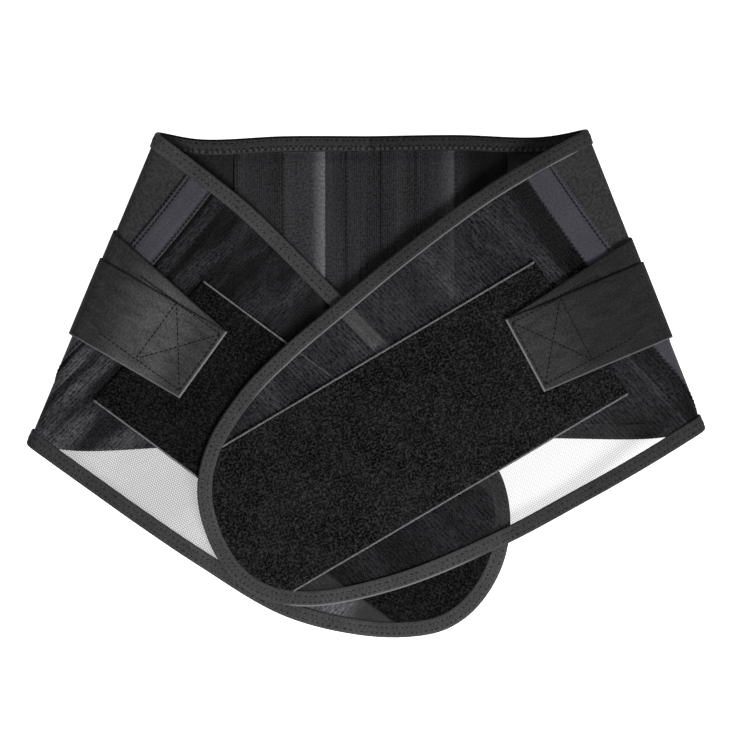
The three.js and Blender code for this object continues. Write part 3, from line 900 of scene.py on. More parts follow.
@dataclass(frozen=True)
class SheerNet:
    """Sheer warp knit net: a haze of fine yarn with dark threads round long six sided holes."""

    name: str
    thread: Colour
    glint: Colour
    haze: float = 0.36
    full: float = 0.74
    cell: float = 1.75
    stretch: float = 1.15
    thread_share: float = 0.24
    turn: float = 0.35
    hatch_pitch: float = 2.5
    gather_share: float = 0.9
    painted_shades_down: tuple[Triple, ...] = ()
    painted_shades_across: tuple[Triple, ...] = ()
    seam: Optional[Triple] = None
    hem: Span = (14.5, 26.5)
    painted_shade_cover: Optional[Triple] = None
    painted_shade_slope: float = 0.36
    painted_shade_top: Span = (120.0, 160.0)
    tip_fade: float = 30.0
    fold_cover: Span = (34.0, 16.0)
    dense_and_shade_cover: float = 0.977
    hatch_way: Span = (0.92, 0.38)

    def build(self) -> Material:
        """Cover grows where the six sided distance from the nearest cell's middle passes the thread's edge.

        Gathers are noise drawn out down the wing, along which a fine hatch of yarns carries painted
        highlights towards the glint colour. Cover rises to nearly full near the fold. A painted shade cover
        makes the lower part nearly opaque from one "across" to another, and all of it past a third, where the
        net lies in shade.
        Where the seam's parabola is given, the seam's allowance shows as a band of painted sheen beside the
        tape, with painted shade at its two edges; a hem of no width is painted shade all through. Painted
        shades darken the yarn over stretches down and across the net.

        Returns:
            The material.
        """
        g = Graph(self.name)
        x, y = g.pattern()
        c, s = math.cos(self.turn), math.sin(self.turn)
        px, py = (x * c + y * s) / self.cell, (y * c - x * s) / (self.cell * self.stretch)
        tall = math.sqrt(3.0)

        def lattice(shift: float) -> tuple[Value, Value]:
            """Offsets from the nearest middle of one of the two lattices of cells."""
            ax = (px + shift).do("FRACT") - 0.5
            ay = ((py / tall) + shift).do("FRACT") * tall - tall / 2
            return ax.do("ABSOLUTE"), ay.do("ABSOLUTE")

        def reach(pair: tuple[Value, Value]) -> Value:
            """Six sided distance: the larger of x and half x plus 0.866 y."""
            return pair[0].do("MAXIMUM", pair[0] * 0.5 + pair[1] * (tall / 2))

        near = reach(lattice(0.0)).do("MINIMUM", reach(lattice(0.5)))
        half = 0.5 * (1 - self.thread_share)
        threads_here = near.rise(half - 0.05, half + 0.03)
        cover = threads_here * (self.full - self.haze) + self.haze
        dense_and_shade = x.rise(*self.fold_cover)
        # Painted shade: the net is made nearly opaque where it lies in shade.
        if self.painted_shade_cover:
            start, end, tip = self.painted_shade_cover
            below = x.rise(start, end) * (y - x * self.painted_shade_slope).rise(*self.painted_shade_top)
            dense_and_shade = dense_and_shade.do("MAXIMUM", below).do("MAXIMUM", x.rise(tip, tip + self.tip_fade))
        cover = cover + (self.dense_and_shade_cover - cover) * dense_and_shade
        c, s = self.hatch_way
        aside, along = x * c + y * s, y * c - x * s
        gathers = g.noise(g.vector(aside * 0.035, along * 0.008), 1.0, 3.0).rise(0.40, 0.67)
        streak = g.noise(g.vector(aside * 0.45, along * 0.13), 1.0, 2.0).rise(0.40, 0.66)
        hatch = (aside + streak * 1.2).wave(self.hatch_pitch)
        grain = g.grain(g.vector(x, y), 0.5)
        light = gathers * self.gather_share + (1 - self.gather_share)
        # Painted sheen on the seam's allowance beside the tape, with painted shade at its edges.
        if self.seam:
            start, slope, curve = self.seam
            off = x - start - y * slope - (y * y) * curve
            low, high = self.hem
            light = light.do("MAXIMUM", off.rise(low, low + 3.0) * off.rise(high, high - 2.0) * 0.7)
            light = light * (1 - off.rise(low + 1.5, low - 0.5) * 0.8)
            light = light * (1 - (off - high - 3.0).do("ABSOLUTE").rise(5.0, 1.0) * 0.7)
        # Painted highlights: streaks, hatch and grain mix the yarn towards its glint colour; painted shades
        # then darken it.
        share = (streak * 0.3 + hatch * 0.35 + grain * 0.3) * light + grain * 0.06
        yarn = g.paint_shade(g.mix(share.do("MINIMUM", 1.0), self.thread, self.glint), y, self.painted_shades_down)
        yarn = g.paint_shade(yarn, x, self.painted_shades_across)
        return g.finish(yarn, 0.7, gathers, 1.5, specular=0.03, alpha=cover)


@dataclass(frozen=True)
class Pile:
    """Dense matt pile of tiny loops."""

    name: str
    pit: Colour
    tip: Colour
    curl: float = 0.36
    relief: float = 0.35

    def build(self) -> Material:
        """Rows of loops curl along the lines where a soft noise crosses its middle; the rest stays black."""
        g = Graph(self.name)
        x, y = g.pattern()
        at = g.vector(x, y)
        curls = (g.noise(at, self.curl, 2.0) - 0.5).do("ABSOLUTE").rise(0.10, 0.0)
        grain = g.grain(at, 0.5)
        blotch = g.noise(at, 0.03, 3.0).rise(0.3, 0.7)
        share = curls * (grain * 0.47 + 0.13) + grain * 0.05 + blotch * 0.08
        relief = curls * 0.7 + grain * 0.3
        return g.finish(g.mix(share, self.pit, self.tip), 0.95, relief, self.relief, specular=0.015)


@dataclass(frozen=True)
class FoldedTape:
    """Edge tape: a fine rib across it, a woven edge, and two rows of needle holes."""

    name: str
    dark: Colour
    light: Colour
    hole: Colour
    pale: Colour
    inner_highlight: Span = NOWHERE
    outer_highlight: Span = NOWHERE
    lit: Span = NOWHERE
    painted_shades: tuple[Triple, ...] = ()
    width: float = 12.0
    rows: Span = (3.4, 8.0)
    pitch: float = 4.3
    back_end: float = 168.0
    dash_pitch: float = 4.4
    dash_inset: float = 10.0

    def build(self) -> Material:
        """Pattern places are the run along the edge and the inset from it.

        Painted highlights pale the tape's woven edge, its folded edge and its whole width over one stretch of
        the run each, and painted shade darkens other stretches. Along the back the folded edge is black, and
        a row of dark dashes lies near the woven one.

        Returns:
            The material.
        """
        g = Graph(self.name)
        run, inset = g.pattern()
        at = g.vector(run, inset)
        wobble = g.noise(at, 0.16, 2.0) * 9.0
        ribs = run.wave(0.9)
        grain = g.grain(at, 0.6)
        blotch = g.noise(at, 0.03, 2.0)
        holes = None
        for row, start in ((self.rows[0], 0.0), (self.rows[1], self.pitch / 2)):
            a, b = (run + wobble).folded(self.pitch, start), inset - row
            spot = ((a * a) * 0.6 + b * b).do("SQRT").rise(1.0, 0.3)
            holes = spot if holes is None else holes.do("MAXIMUM", spot)

        def stretch(ends: Span) -> Value:
            """1 along a stretch of the run."""
            return run.rise(ends[0], ends[0] + 12.0) * run.rise(ends[1], ends[1] - 30.0)

        share = ribs * 0.15 + grain * 0.35 + blotch * 0.5 - holes * 0.2
        on_back = run.rise(self.back_end, self.back_end - 6.0)
        cloth_colour = g.mix(share.do("MAXIMUM", 0.0), self.dark, self.light)
        colour = g.mix(holes * (0.55 + on_back * 0.3), cloth_colour, self.hole)
        # Painted shade over some stretches of the run; below, painted highlights over a lit stretch and along
        # the woven and folded edges.
        colour = g.mix(on_back * 0.4, g.paint_shade(colour, run, self.painted_shades), self.hole)
        colour = g.mix(stretch(self.lit) * 0.5, colour, self.pale)
        inner = inset.rise(self.width - 1.5, self.width - 0.6) * stretch(self.inner_highlight)
        outer = inset.rise(1.7, 0.8) * stretch(self.outer_highlight)
        colour = g.mix(inner.do("MAXIMUM", outer) * 0.58, colour, self.pale)
        colour = g.mix(inset.rise(2.0, 1.4) * on_back, colour, self.hole)
        dashes = (run + wobble * 0.6).wave(self.dash_pitch).rise(0.35, 0.75)
        row = (inset - self.dash_inset).do("ABSOLUTE").rise(1.4, 0.4) * on_back
        colour = g.mix(row * (dashes * 0.7 + 0.05), colour, self.hole)
        colour = g.mix(row * (1 - dashes) * 0.13, colour, self.pale)
        relief = ribs * 0.12 + grain * 0.2 - holes * 0.4 + 0.5
        return g.finish(colour, 0.8, relief, 0.5, specular=0.06)


@dataclass(frozen=True)
class Webbing:
    """Elastic webbing: ribs along it, a fine weave, a paler woven edge and a bound front end."""

    name: str
    dark: Colour
    light: Colour
    edge: Colour
    width: float
    painted_shades: tuple[Triple, ...]
    rib_pitch: float = 1.7
    shadow: Colour = (0.003, 0.003, 0.003)

    def build(self) -> Material:
        """Pattern places are the run back from the front end and the offset from the middle.

        The front end and one long edge are paler, the other long edge carries a painted shadow past the front
        end, and painted shade darkens stretches of the run.

        Returns:
            The material.
        """
        g = Graph(self.name)
        run, offset = g.pattern()
        at = g.vector(run, offset)
        ribs, weave = offset.wave(self.rib_pitch), run.wave(0.8)
        streak = g.noise(g.vector(run * 0.05, offset * 0.16), 1.0, 4.0).rise(0.3, 0.7)
        grain = g.grain(at, 0.55)
        border = offset.rise(self.width / 2 - 1.5, self.width / 2 - 0.6)
        edge_shadow = offset.rise(1.9 - self.width / 2, 0.6 - self.width / 2) * run.rise(12.0, 24.0)
        hem = run.rise(1.9, 1.0)
        share = ribs * 0.15 + weave * 0.05 + streak * 0.3 + grain * 0.4
        # Painted shade along stretches of the run, then a painted shadow along one long edge.
        body = g.paint_shade(g.mix(share.do("MINIMUM", 1.0), self.dark, self.light), run, self.painted_shades)
        body = g.mix(edge_shadow * 0.75, body, self.shadow)
        colour = g.mix((border * 0.45).do("MAXIMUM", hem * 0.85), body, self.edge)
        relief = ribs * 0.3 + weave * ribs * 0.2 + grain * 0.4 + g.noise(at, 0.05, 2.0) * 6.0
        return g.finish(colour, 0.8, relief, 0.25, specular=0.06)


@dataclass(frozen=True)
class Thread:
    """Plain sewing thread with a fine twist."""

    name: str
    colour: Colour

    def build(self) -> Material:
        """A slow change of shade along the thread."""
        g = Graph(self.name)
        x, y = g.pattern()
        shade = g.noise(g.vector(x, y), 1.5, 1.0)
        darker = tuple(0.6 * c for c in self.colour)
        return g.finish(g.mix(shade, darker, self.colour), 0.7, shade, 0.05, specular=0.06)


@dataclass(frozen=True)
class Finishes:
    """Every finish of the belt, made once."""

    panel: Material
    channel: Material
    ridged: Material
    elastic: Material
    nets: dict[Hand, Material]
    tapes: dict[Hand, Material]
    loops: dict[Hand, Material]
    selvedges: dict[Hand, Material]
    bindings: dict[Hand, Material]
    straps: dict[Hand, Material]
    hook: Material
    dark_thread: Material
    grey_thread: Material

    @classmethod
    def make(cls, strap_width: float) -> "Finishes":
        """Builds the finishes for a strap of some width."""
        tape_tones = ((0.010, 0.010, 0.0105), (0.056, 0.056, 0.058), (0.002, 0.002, 0.002),
                      (0.14, 0.14, 0.14))
        net_thread, strap_edge = (0.0010, 0.0009, 0.0013), (0.13, 0.13, 0.132)
        knit = {"rib_pitch": 1.7, "across_ribs": True, "ribs_share": 0.4, "grain": 0.5, "mottle": 0.2,
                "painted_fold_shade": 1.2}
        return cls(
            # Painted shade: the panel darkens towards its right side, where the right wing's shadow falls.
            panel=RibbedCloth("black_knit_panel", (0.003, 0.003, 0.0032), (0.026, 0.025, 0.027), **knit,
                              relief=0.1, shade=(66.0, 78.0, 0.8)).build(),
            # Painted highlight along the right wide channel's ridge.
            channel=RibbedCloth("stay_channel_cloth", (0.003, 0.003, 0.0034), (0.024, 0.023, 0.025), **knit,
                                painted_highlight=(45.0, 63.0, (0.045, 0.043, 0.047))).build(),
            # A lighter copy of the channel cloth for the left wide channel, with a painted highlight along
            # its ridge.
            ridged=RibbedCloth("stay_channel_worn_cloth", (0.005, 0.005, 0.0055), (0.033, 0.032, 0.034),
                               rib_pitch=1.6, relief=0.12, grain=0.6, painted_fold_shade=0.6,
                               painted_highlight=(-50.0, -36.2, (0.10, 0.097, 0.102))).build(),
            # Painted shade: the elastic darkens on its back side, in the hollow under the wing.
            elastic=RibbedCloth("side_elastic_cloth", (0.006, 0.0057, 0.006), (0.043, 0.041, 0.042),
                                rib_pitch=1.2, relief=0.06, ribs_share=0.15, grain=0.36, grain_scale=0.4,
                                mottle=0.4, shade=(-16.0, -40.0, 0.6)).build(),
            # Painted light and shade: the left net is more opaque than the right, partly for the shade on the
            # floor under it, and painted shades darken the left net's upper part and tip and the right net's
            # lower part.
            nets={
                Hand.LEFT: SheerNet("left_sheer_net", net_thread, (0.112, 0.107, 0.118),
                                    haze=0.485, full=0.79,
                                    painted_shades_down=((190.0, 120.0, 0.58),), painted_shades_across=((265.0, 295.0, 0.75),),
                                    seam=LEFT_SHAPE.seam, painted_shade_cover=(150.0, 240.0, 285.0)).build(),
                Hand.RIGHT: SheerNet("right_sheer_net", net_thread, (0.092, 0.088, 0.096),
                                     haze=0.32, full=0.56, hatch_pitch=3.1, gather_share=0.55,
                                     seam=RIGHT_SHAPE.seam, hem=(25.0, 25.0),
                                     painted_shades_down=((205.0, 228.0, 0.6),)).build(),
            },
            tapes={
                hand: RibbedCloth(f"{hand.word}_satin_channel_tape", (0.017, 0.0165, 0.020),
                                  (0.056, 0.053, 0.065), rib_pitch=1.0, relief=0.04, rough=0.6, grain=0.3,
                                  mottle=0.4, lines=lines).build()
                for hand, lines in ((Hand.LEFT, (-11.9, -9.0, 10.2)), (Hand.RIGHT, (-8.8, 12.2)))
            },
            # Painted shade: the left pile's tips are darker, for the strap's shadow on it.
            loops={
                hand: Pile(f"{hand.word}_loop_pile", (0.0006, 0.0006, 0.0007), tip).build()
                for hand, tip in ((Hand.LEFT, (0.021, 0.021, 0.022)), (Hand.RIGHT, (0.034, 0.0335, 0.035)))
            },
            # The left woven edges darken towards the tip.
            selvedges={
                hand: RibbedCloth(f"{hand.word}_loop_selvedge", (0.04, 0.04, 0.042), (0.14, 0.14, 0.145),
                                  rib_pitch=1.2, relief=0.1, shade=shade).build()
                for hand, shade in ((Hand.LEFT, (200.0, 225.0, 0.88)), (Hand.RIGHT, None))
            },
            # Painted light and shade: a lit stretch, highlight lines along the right tape's edges, and
            # painted shades over other stretches.
            bindings={
                Hand.LEFT: FoldedTape("left_edge_tape", *tape_tones, lit=(365.0, 440.0),
                                      painted_shades=((880.0, 960.0, 0.3),)).build(),
                Hand.RIGHT: FoldedTape("right_edge_tape", *tape_tones, inner_highlight=(185.0, 520.0),
                                       outer_highlight=(715.0, 880.0),
                                       painted_shades=((500.0, 320.0, 0.4), (860.0, 930.0, 0.4))).build(),
            },
            # Painted shade: the right webbing is a darker copy of the left, and painted shades darken
            # stretches of both.
            straps={
                Hand.LEFT: Webbing("left_strap_webbing", (0.017, 0.0165, 0.0165), (0.075, 0.073, 0.073),
                                   strap_edge, strap_width, ((38.0, 12.0, 0.45), (46.0, 88.0, 0.6))).build(),
                Hand.RIGHT: Webbing("right_strap_webbing", (0.009, 0.0087, 0.0087), (0.038, 0.037, 0.037),
                                    strap_edge, strap_width, ((6.0, 72.0, 0.5),)).build(),
            },
            hook=Pile("hook_patch", (0.002, 0.002, 0.002), (0.012, 0.012, 0.012), curl=0.6).build(),
            dark_thread=Thread("black_thread", (0.006, 0.006, 0.0065)).build(),
            grey_thread=Thread("grey_thread", (0.045, 0.045, 0.046)).build(),
        )


def area_of(across: Array, down: Array) -> float:
    """Flat area of a grid of pattern positions in square metres: the sum of its cells' cross products."""
    p = np.stack([across, down], axis=-1)
    one, two = p[1:, 1:] - p[:-1, :-1], p[1:, :-1] - p[:-1, 1:]
    return float(np.abs(one[..., 0] * two[..., 1] - one[..., 1] * two[..., 0]).sum() / 2) * METRES**2


@dataclass
class BackPanel:
    """Padded middle of the back with its stay channels."""

    back: Back
    finishes: Finishes
    pad_slope: float = 9.0
    ridge_height: float = 0.7
    ridge_width: float = 1.6
    edge_share: float = 0.6
    sunk: float = 0.1
    channel_stitch_inset: float = 1.2
    seam_stitch_inset: float = 2.5
    stitch_rise: float = 0.62
    thread_radius: float = 0.3
    channels: tuple[tuple[str, float, float, float], ...] = (
        ("left_wide", -51.0, 33.0, 14.0), ("left_narrow", -13.5, 11.5, 4.0),
        ("right_narrow", 13.5, 11.5, -4.0), ("right_wide", 51.0, 33.0, 9.5),
    )

    def pad_level(self, row: Array) -> Array:
        """Level of the inner face: thin at the binding, then a smooth rise to the full pad."""
        layers, back = self.back.layers, self.back
        distance = np.minimum(row, back.length - row) + back.trim
        start = layers.binding_width + layers.seam_gap
        rise = smoothstep(distance, start, start + self.pad_slope)
        return -lerp(layers.elastic_face, layers.panel - layers.elastic_face, rise)

    def build(self) -> list[Piece]:
        """Makes the panel, its channels and its stitching."""
        return [self.panel(), *[self.channel(*spec) for spec in self.channels], self.stitching()]

    def panel(self) -> Piece:
        """Panel cloth over its padding, a grid between the side seams."""
        back, layers = self.back, self.back.layers
        half = back.shape.panel_width / 2
        made = Gathered()
        cloth(made, back, lambda u, v: (lerp(-half, half, u), v * back.length), (2 * half, back.length),
              (lambda across, row: self.pad_level(row), level_of(layers.elastic_face)))
        piece = made.build("back_panel_cloth", self.finishes.panel)
        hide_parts("back_panel")
        return piece

    def channel(self, name: str, centre: float, width: float, ridge: float) -> Piece:
        """One stay channel: a crown over the stay with a ridge where the stay's edge pushes the cloth up.

        Args:
            name: the channel's name.
            centre: X of its middle off the back's centre.
            width: its width.
            ridge: how far the ridge lies from its middle.

        Returns:
            The piece.
        """
        back, layers = self.back, self.back.layers
        start = layers.binding_width + layers.seam_gap - back.trim - layers.tuck
        length = back.length - 2 * start

        def face(across: Array, row: Array) -> Array:
            """Inner face: a crown of the second degree plus a narrow ridge."""
            off = across - centre
            crown = 1 - (2 * off / width) ** 2
            bump = self.ridge_height * np.exp(-(((off - ridge) / self.ridge_width) ** 2))
            base = self.pad_level(row) - layers.seam_gap
            return base - layers.channel * lerp(self.edge_share, 1.0, crown) - bump

        made = Gathered()
        cloth(made, back, lambda u, v: (centre + (u - 0.5) * width, start + v * length), (width, length),
              (face, lambda across, row: self.pad_level(row) - self.sunk), step=1.5)
        finish = self.finishes.ridged if name == "left_wide" else self.finishes.channel
        piece = made.build(f"stay_channel_cloth_{name}", finish)
        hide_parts(f"stay_channel_{name}")
        width * METRES
        return piece

    def stitching(self) -> Piece:
        """Running stitches down both sides of each channel and down the panel's side seams."""
        back, layers, made = self.back, self.back.layers, Gathered()
        lines = [(centre + side * (width / 2 - self.channel_stitch_inset), layers.seam_gap + self.stitch_rise)
                 for _, centre, width, _ in self.channels for side in (-1, 1)]
        lines += [(side * (back.shape.panel_width / 2 - self.seam_stitch_inset), 0.0) for side in (-1, 1)]
        run, _ = running(lambda r, o: (r, o), back.length - 2 * layers.binding_width)
        row = run + layers.binding_width
        for x, rise in lines:
            level = self.pad_level(row) - rise
            threads_on_pad(made, back, np.full_like(row, x), row, level, self.thread_radius)
        piece = made.build("back_stitching", self.finishes.dark_thread)
        return piece


def threads_on_pad(
    made: Gathered, back: Back, across: Array, row: Array, level: Array, radius: float
) -> None:
    """Threads on the pad, whose level changes along them: each stitch takes its own level.

    Args:
        made: takes the threads.
        back: the back.
        across: X off the centre, one row for each stitch.
        row: distance below the upper edge.
        level: level of the face at each point.
        radius: half the thread's thickness.
    """
    for part in np.unique(np.round(level.mean(1), 1)):
        chosen = np.round(level.mean(1), 1) == part
        threads(made, back, across[chosen], row[chosen], float(part), radius)


@dataclass
class SidePiece:
    """A sub-assembly of one side of the belt."""

    side: BeltSide
    finishes: Finishes


@dataclass
class SideElastic(SidePiece):
    """Elastic from the back panel's side seam round the fold to the seam with the net."""

    columns: int = 100
    rows: int = 90
    rim: float = 0.01
    rounds: int = 8

    def pattern(self, u: Array, v: Array) -> Pattern:
        """Rows run from seam to seam; each is moved along until both of its ends meet their seams.

        Args:
            u: 0 at the back panel's side seam, 1 at the seam with the net.
            v: 0 at the upper edge, 1 at the lower.

        Returns:
            "Across" and "down".
        """
        side = self.side
        inset = side.layers.wall + side.layers.seam_gap
        seam_x = side.back.centre + side.hand * side.back.panel_width / 2

        def row_down(across: Array) -> Array:
            """"Down" at the share v of the way from the upper to the lower edge."""
            return lerp(side.edge_down(across, False, inset), side.edge_down(across, True, inset), v)

        def meet(line: Callable[[Array], Array]) -> Array:
            """"Across" where a row meets a seam, found by going to and fro between them."""
            across = line(v * side.shape.fold_length)
            for _ in range(self.rounds):
                across = line(row_down(across))
            return across

        offset = seam_x - side.corner[0]
        back_end = meet(lambda d: -(offset - side.along[0] * d) / side.inward[0] - side.slack)
        across = lerp(back_end, meet(side.seam_across), u)
        return across, row_down(across)

    def build(self) -> list[Piece]:
        """Makes the elastic."""
        u_lines, v_lines = np.linspace(0, 1, self.columns), np.linspace(0, 1, self.rows)
        face = self.side.layers.elastic_face
        size = (self.side.back.panel_width, self.side.shape.fold_length)
        made = Gathered()
        cloth(made, self.side, self.pattern, size, (level_of(-face), level_of(face)),
              shares=(u_lines, v_lines), rim=self.rim)
        piece = made.build(f"side_elastic_cloth_{self.side.word}", self.finishes.elastic)
        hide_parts(f"side_elastic_{self.side.word}")
        across, down = self.pattern(*np.meshgrid(u_lines, v_lines, indexing="ij"))
        return [piece]


@dataclass
class WingNet(SidePiece):
    """Sheer net of a wing, one layer from the elastic's seam to the rounded tip."""

    inset: float = 2.2
    tip_chord: int = 10
    columns: int = 240
    rows: int = 80
    bow_fade: float = 3.0

    def pattern(self, u: Array, v: Array) -> Pattern:
        """Rungs between the upper and lower edge, bowed at the first ones so that they meet the seam.

        Args:
            u: 0 at the seam, 1 at the tip.
            v: 0 on the upper edge, 1 on the lower.

        Returns:
            "Across" and "down".
        """
        side = self.side
        edge = side.trimmed(self.inset)
        beyond = np.flatnonzero(edge[:, 0] > side.seam_across(edge[:, 1]))
        index = np.arange(len(edge))

        def rung(place: Array) -> Array:
            """Position on the rung at some share of the way to the tip."""
            first, last = side.tip - self.tip_chord, side.tip + self.tip_chord
            ends = lerp(beyond[0], first, place), lerp(beyond[-1], last, place)
            upper, lower = (np.stack([np.interp(end, index, column) for column in edge.T], axis=-1)
                            for end in ends)
            return lerp(upper, lower, v[..., None])

        spot, start = rung(u), rung(np.zeros_like(u))
        bow = side.seam_across(start[..., 1]) - start[..., 0]
        return spot[..., 0] + bow * (1 - u) ** self.bow_fade, spot[..., 1]

    def build(self) -> list[Piece]:
        """Makes the net as one open layer in the middle of its solid."""
        u, v = np.meshgrid(np.linspace(0, 1, self.columns), np.linspace(0, 1, self.rows), indexing="ij")
        across, down = self.pattern(u, v)
        points = self.side.point(across, down, np.zeros_like(across))
        faces = grid_faces(self.columns, self.rows)
        first = points.reshape(-1, 3)[faces[0]]
        if np.cross(first[1] - first[0], first[2] - first[1])[2] < 0:
            faces = faces[:, ::-1]
        made = Gathered()
        made.add(points, faces, np.stack([across, down], axis=-1))
        piece = made.build(f"wing_net_cloth_{self.side.word}", self.finishes.nets[self.side.shape.hand])
        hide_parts(f"wing_net_{self.side.word}")
        return [piece]


@dataclass
class SideChannel(SidePiece):
    """Satin channel tape over the seam between elastic and net, with a stay inside."""

    width: float = 25.0
    stay_width: float = 13.0
    thin_face: float = 0.85
    thinning: float = 25.0
    outer_insets: tuple[float, ...] = (1.2, 4.4)
    inner_insets: tuple[float, ...] = (1.2,)
    crown_slopes: Span = (-1.5, 2.0)
    crown_rise: float = 0.55
    edge_dip: float = 0.45
    base_gap: float = 0.02
    stitch_dip: float = 0.42
    band_width: float = 4.0
    thread_radius: float = 0.28

    def ends(self, u: Array) -> Pattern:
        """Upper and lower "down" where lines at some offsets run into the binding."""
        side, middle = self.side, np.full(len(u), self.side.shape.fold_length / 2)
        clear = side.layers.binding_width - side.layers.tuck

        def line(values: Array) -> Pattern:
            """Pattern positions down the tape at the offsets u."""
            return side.seam_across(values) + u[:, None] * self.width, values

        return (side.reach(line, middle, -clear, clear),
                side.reach(line, middle, side.shape.fold_length + clear, clear))

    def pattern(self, u: Array, v: Array) -> Pattern:
        """Position at a share across the tape and a share down it."""
        tops, feet = self.ends(u[:, 0] - 0.5)
        down = lerp(tops[:, None], feet[:, None], v)
        return self.side.seam_across(down) + (u - 0.5) * self.width, down

    def build(self) -> list[Piece]:
        """Makes the tape, raised a little over its stay, and its lines of stitches."""
        side, layers = self.side, self.side.layers
        length = side.shape.fold_length - 2 * layers.binding_width
        face = layers.tape_base + layers.tape

        def flattened(across: Array, level: Array) -> Array:
            """Level that falls to a thin flat tape as it comes to the fold, where the strap lies on it."""
            return lerp(self.thin_face, level, smoothstep(across, 0.0, self.thinning))

        def upper(across: Array, down: Array) -> Array:
            """Outer face: dips at the stitch lines, a low flat crown over the stay."""
            off = np.abs(across - side.seam_across(down))
            crown = 1 - smoothstep(off, *(self.stay_width / 2 + slope for slope in self.crown_slopes))
            return flattened(across, face - self.edge_dip + self.crown_rise * crown)

        made = Gathered()
        cloth(made, side, self.pattern, (self.width, length),
              (level_of(layers.elastic_face + self.base_gap), upper), step=1.3,
              mapping=lambda u, v: (v * length, (u - 0.5) * self.width))
        tape = made.build(f"side_channel_tape_{side.word}", self.finishes.tapes[side.shape.hand])
        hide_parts(f"side_channel_{side.word}")
        self.width * METRES
        f"side_elastic_cloth_{side.word}"
        sewn = Gathered()
        lines = [inset - self.width / 2 for inset in self.outer_insets]
        lines += [self.width / 2 - inset for inset in self.inner_insets]
        for offset in lines:
            top, foot = (float(e[0]) for e in self.ends(np.array([offset / self.width])))
            across, down = running(lambda r, o: (side.seam_across(top + r) + offset, top + r), foot - top)
            bands = np.round(across.mean(1) / self.band_width) * self.band_width
            for band in np.unique(bands):
                chosen = bands == band
                level = float(flattened(np.array(band), face - self.stitch_dip))
                threads(sewn, side, across[chosen], down[chosen], level, self.thread_radius)
        stitches = sewn.build(f"side_channel_stitches_{side.word}", self.finishes.dark_thread)
        return [tape, stitches]


@dataclass
class LoopPanel(SidePiece):
    """Loop pile panel out to the tip's binding, with a woven edge along both long sides."""

    start: tuple[float, float]
    turn: float
    slant: float
    width: float = 125.0
    edge_width: float = 1.5
    edge_rise: float = 0.05
    ruffles: int = 14
    ruffle_height: float = 0.04
    ruffle_dip: float = 0.2
    thread_radius: float = 0.4
    samples: tuple[int, int] = (60, 40)

    def frame(self, along: Array, below: Array) -> Pattern:
        """Pattern position of a distance along the upper line and one below it."""
        c, s = math.cos(math.radians(self.turn)), math.sin(math.radians(self.turn))
        return self.start[0] + along * c - below * s, self.start[1] + along * s + below * c

    def ends(self, below: Array) -> Pattern:
        """First and last "along" of lines at some distances below the upper one."""
        first = -below * math.tan(math.radians(self.slant))
        layers = self.side.layers
        last = self.side.reach(lambda values: self.frame(values, below[:, None]), first,
                               self.side.shape.wing_length, layers.binding_width - layers.tuck)
        return first, last

    def pile(self) -> Piece:
        """The pile: a thick soft sheet between its two woven edges, its face ruffled by the tufts.

        Returns:
            The piece.
        """
        layers, inner = self.side.layers, self.width - 2 * self.edge_width
        noise = np.random.default_rng(11)
        waves = [(noise.uniform(0.5, 1.6), noise.uniform(0, 6.28), noise.uniform(0, 6.28))
                 for _ in range(self.ruffles)]

        def pattern(u: Array, v: Array) -> Pattern:
            """Position at a share along the panel and a share across it."""
            below = self.edge_width + v[0] * inner
            first, last = self.ends(below)
            return self.frame(lerp(first[None], last[None], u), below[None])

        def ruffled(across: Array, down: Array) -> Array:
            """Face level: a sum of short plane waves in every direction."""
            sums = sum(np.sin(k * (across * math.cos(a) + down * math.sin(a)) + p) for k, a, p in waves)
            return layers.loop_base + layers.loop - self.ruffle_dip + self.ruffle_height * sums

        made = Gathered()
        length = self.side.shape.wing_length - self.start[0]
        cloth(made, self.side, pattern, (length, inner), (level_of(layers.loop_base), ruffled),
              step=1.5, rim=1.0)
        piece = made.build(f"loop_pile_{self.side.word}", self.finishes.loops[self.side.shape.hand])
        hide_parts(f"loop_panel_{self.side.word}")
        u, v = np.meshgrid(*(np.linspace(0, 1, count) for count in self.samples), indexing="ij")
        across, down = pattern(u, v)
        along = float(np.ptp(self.ends(np.array([0.0, self.width]))[1])) + length
        area, breadth = area_of(across, down), inner * METRES
        max(along * METRES, area / breadth * 1.01)
        f"wing_net_cloth_{self.side.word}"
        return piece

    def edges(self) -> Piece:
        """The woven edges: a narrow raised band along each long side, closed by a small knot of thread."""
        layers, made = self.side.layers, Gathered()
        knot_along, knot_aside = np.array([[-0.6], [-0.2], [0.3]]), np.array([[-0.5], [0.1], [0.5]])
        face = layers.loop_base + layers.loop
        for middle in (self.edge_width / 2, self.width - self.edge_width / 2):
            first, last = (float(e[0]) for e in self.ends(np.array([middle])))

            def pattern(u: Array, v: Array) -> Pattern:
                """Position at a share along the edge and a share across it."""
                return self.frame(lerp(first, last, u), middle + (v - 0.5) * self.edge_width)

            cloth(made, self.side, pattern, (last - first, self.edge_width),
                  (level_of(layers.loop_base), level_of(face + self.edge_rise)), step=2.5, rim=0.6)
            knot = np.linspace(0, 4.2, 5)[None] + knot_along
            across, down = self.frame(first + knot, np.full_like(knot, middle) + knot_aside)
            threads(made, self.side, across, down, face, self.thread_radius)
        piece = made.build(f"loop_edges_{self.side.word}", self.finishes.selvedges[self.side.shape.hand])
        return piece

    def build(self) -> list[Piece]:
        """Makes the pile and its woven edges."""
        return [self.pile(), self.edges()]


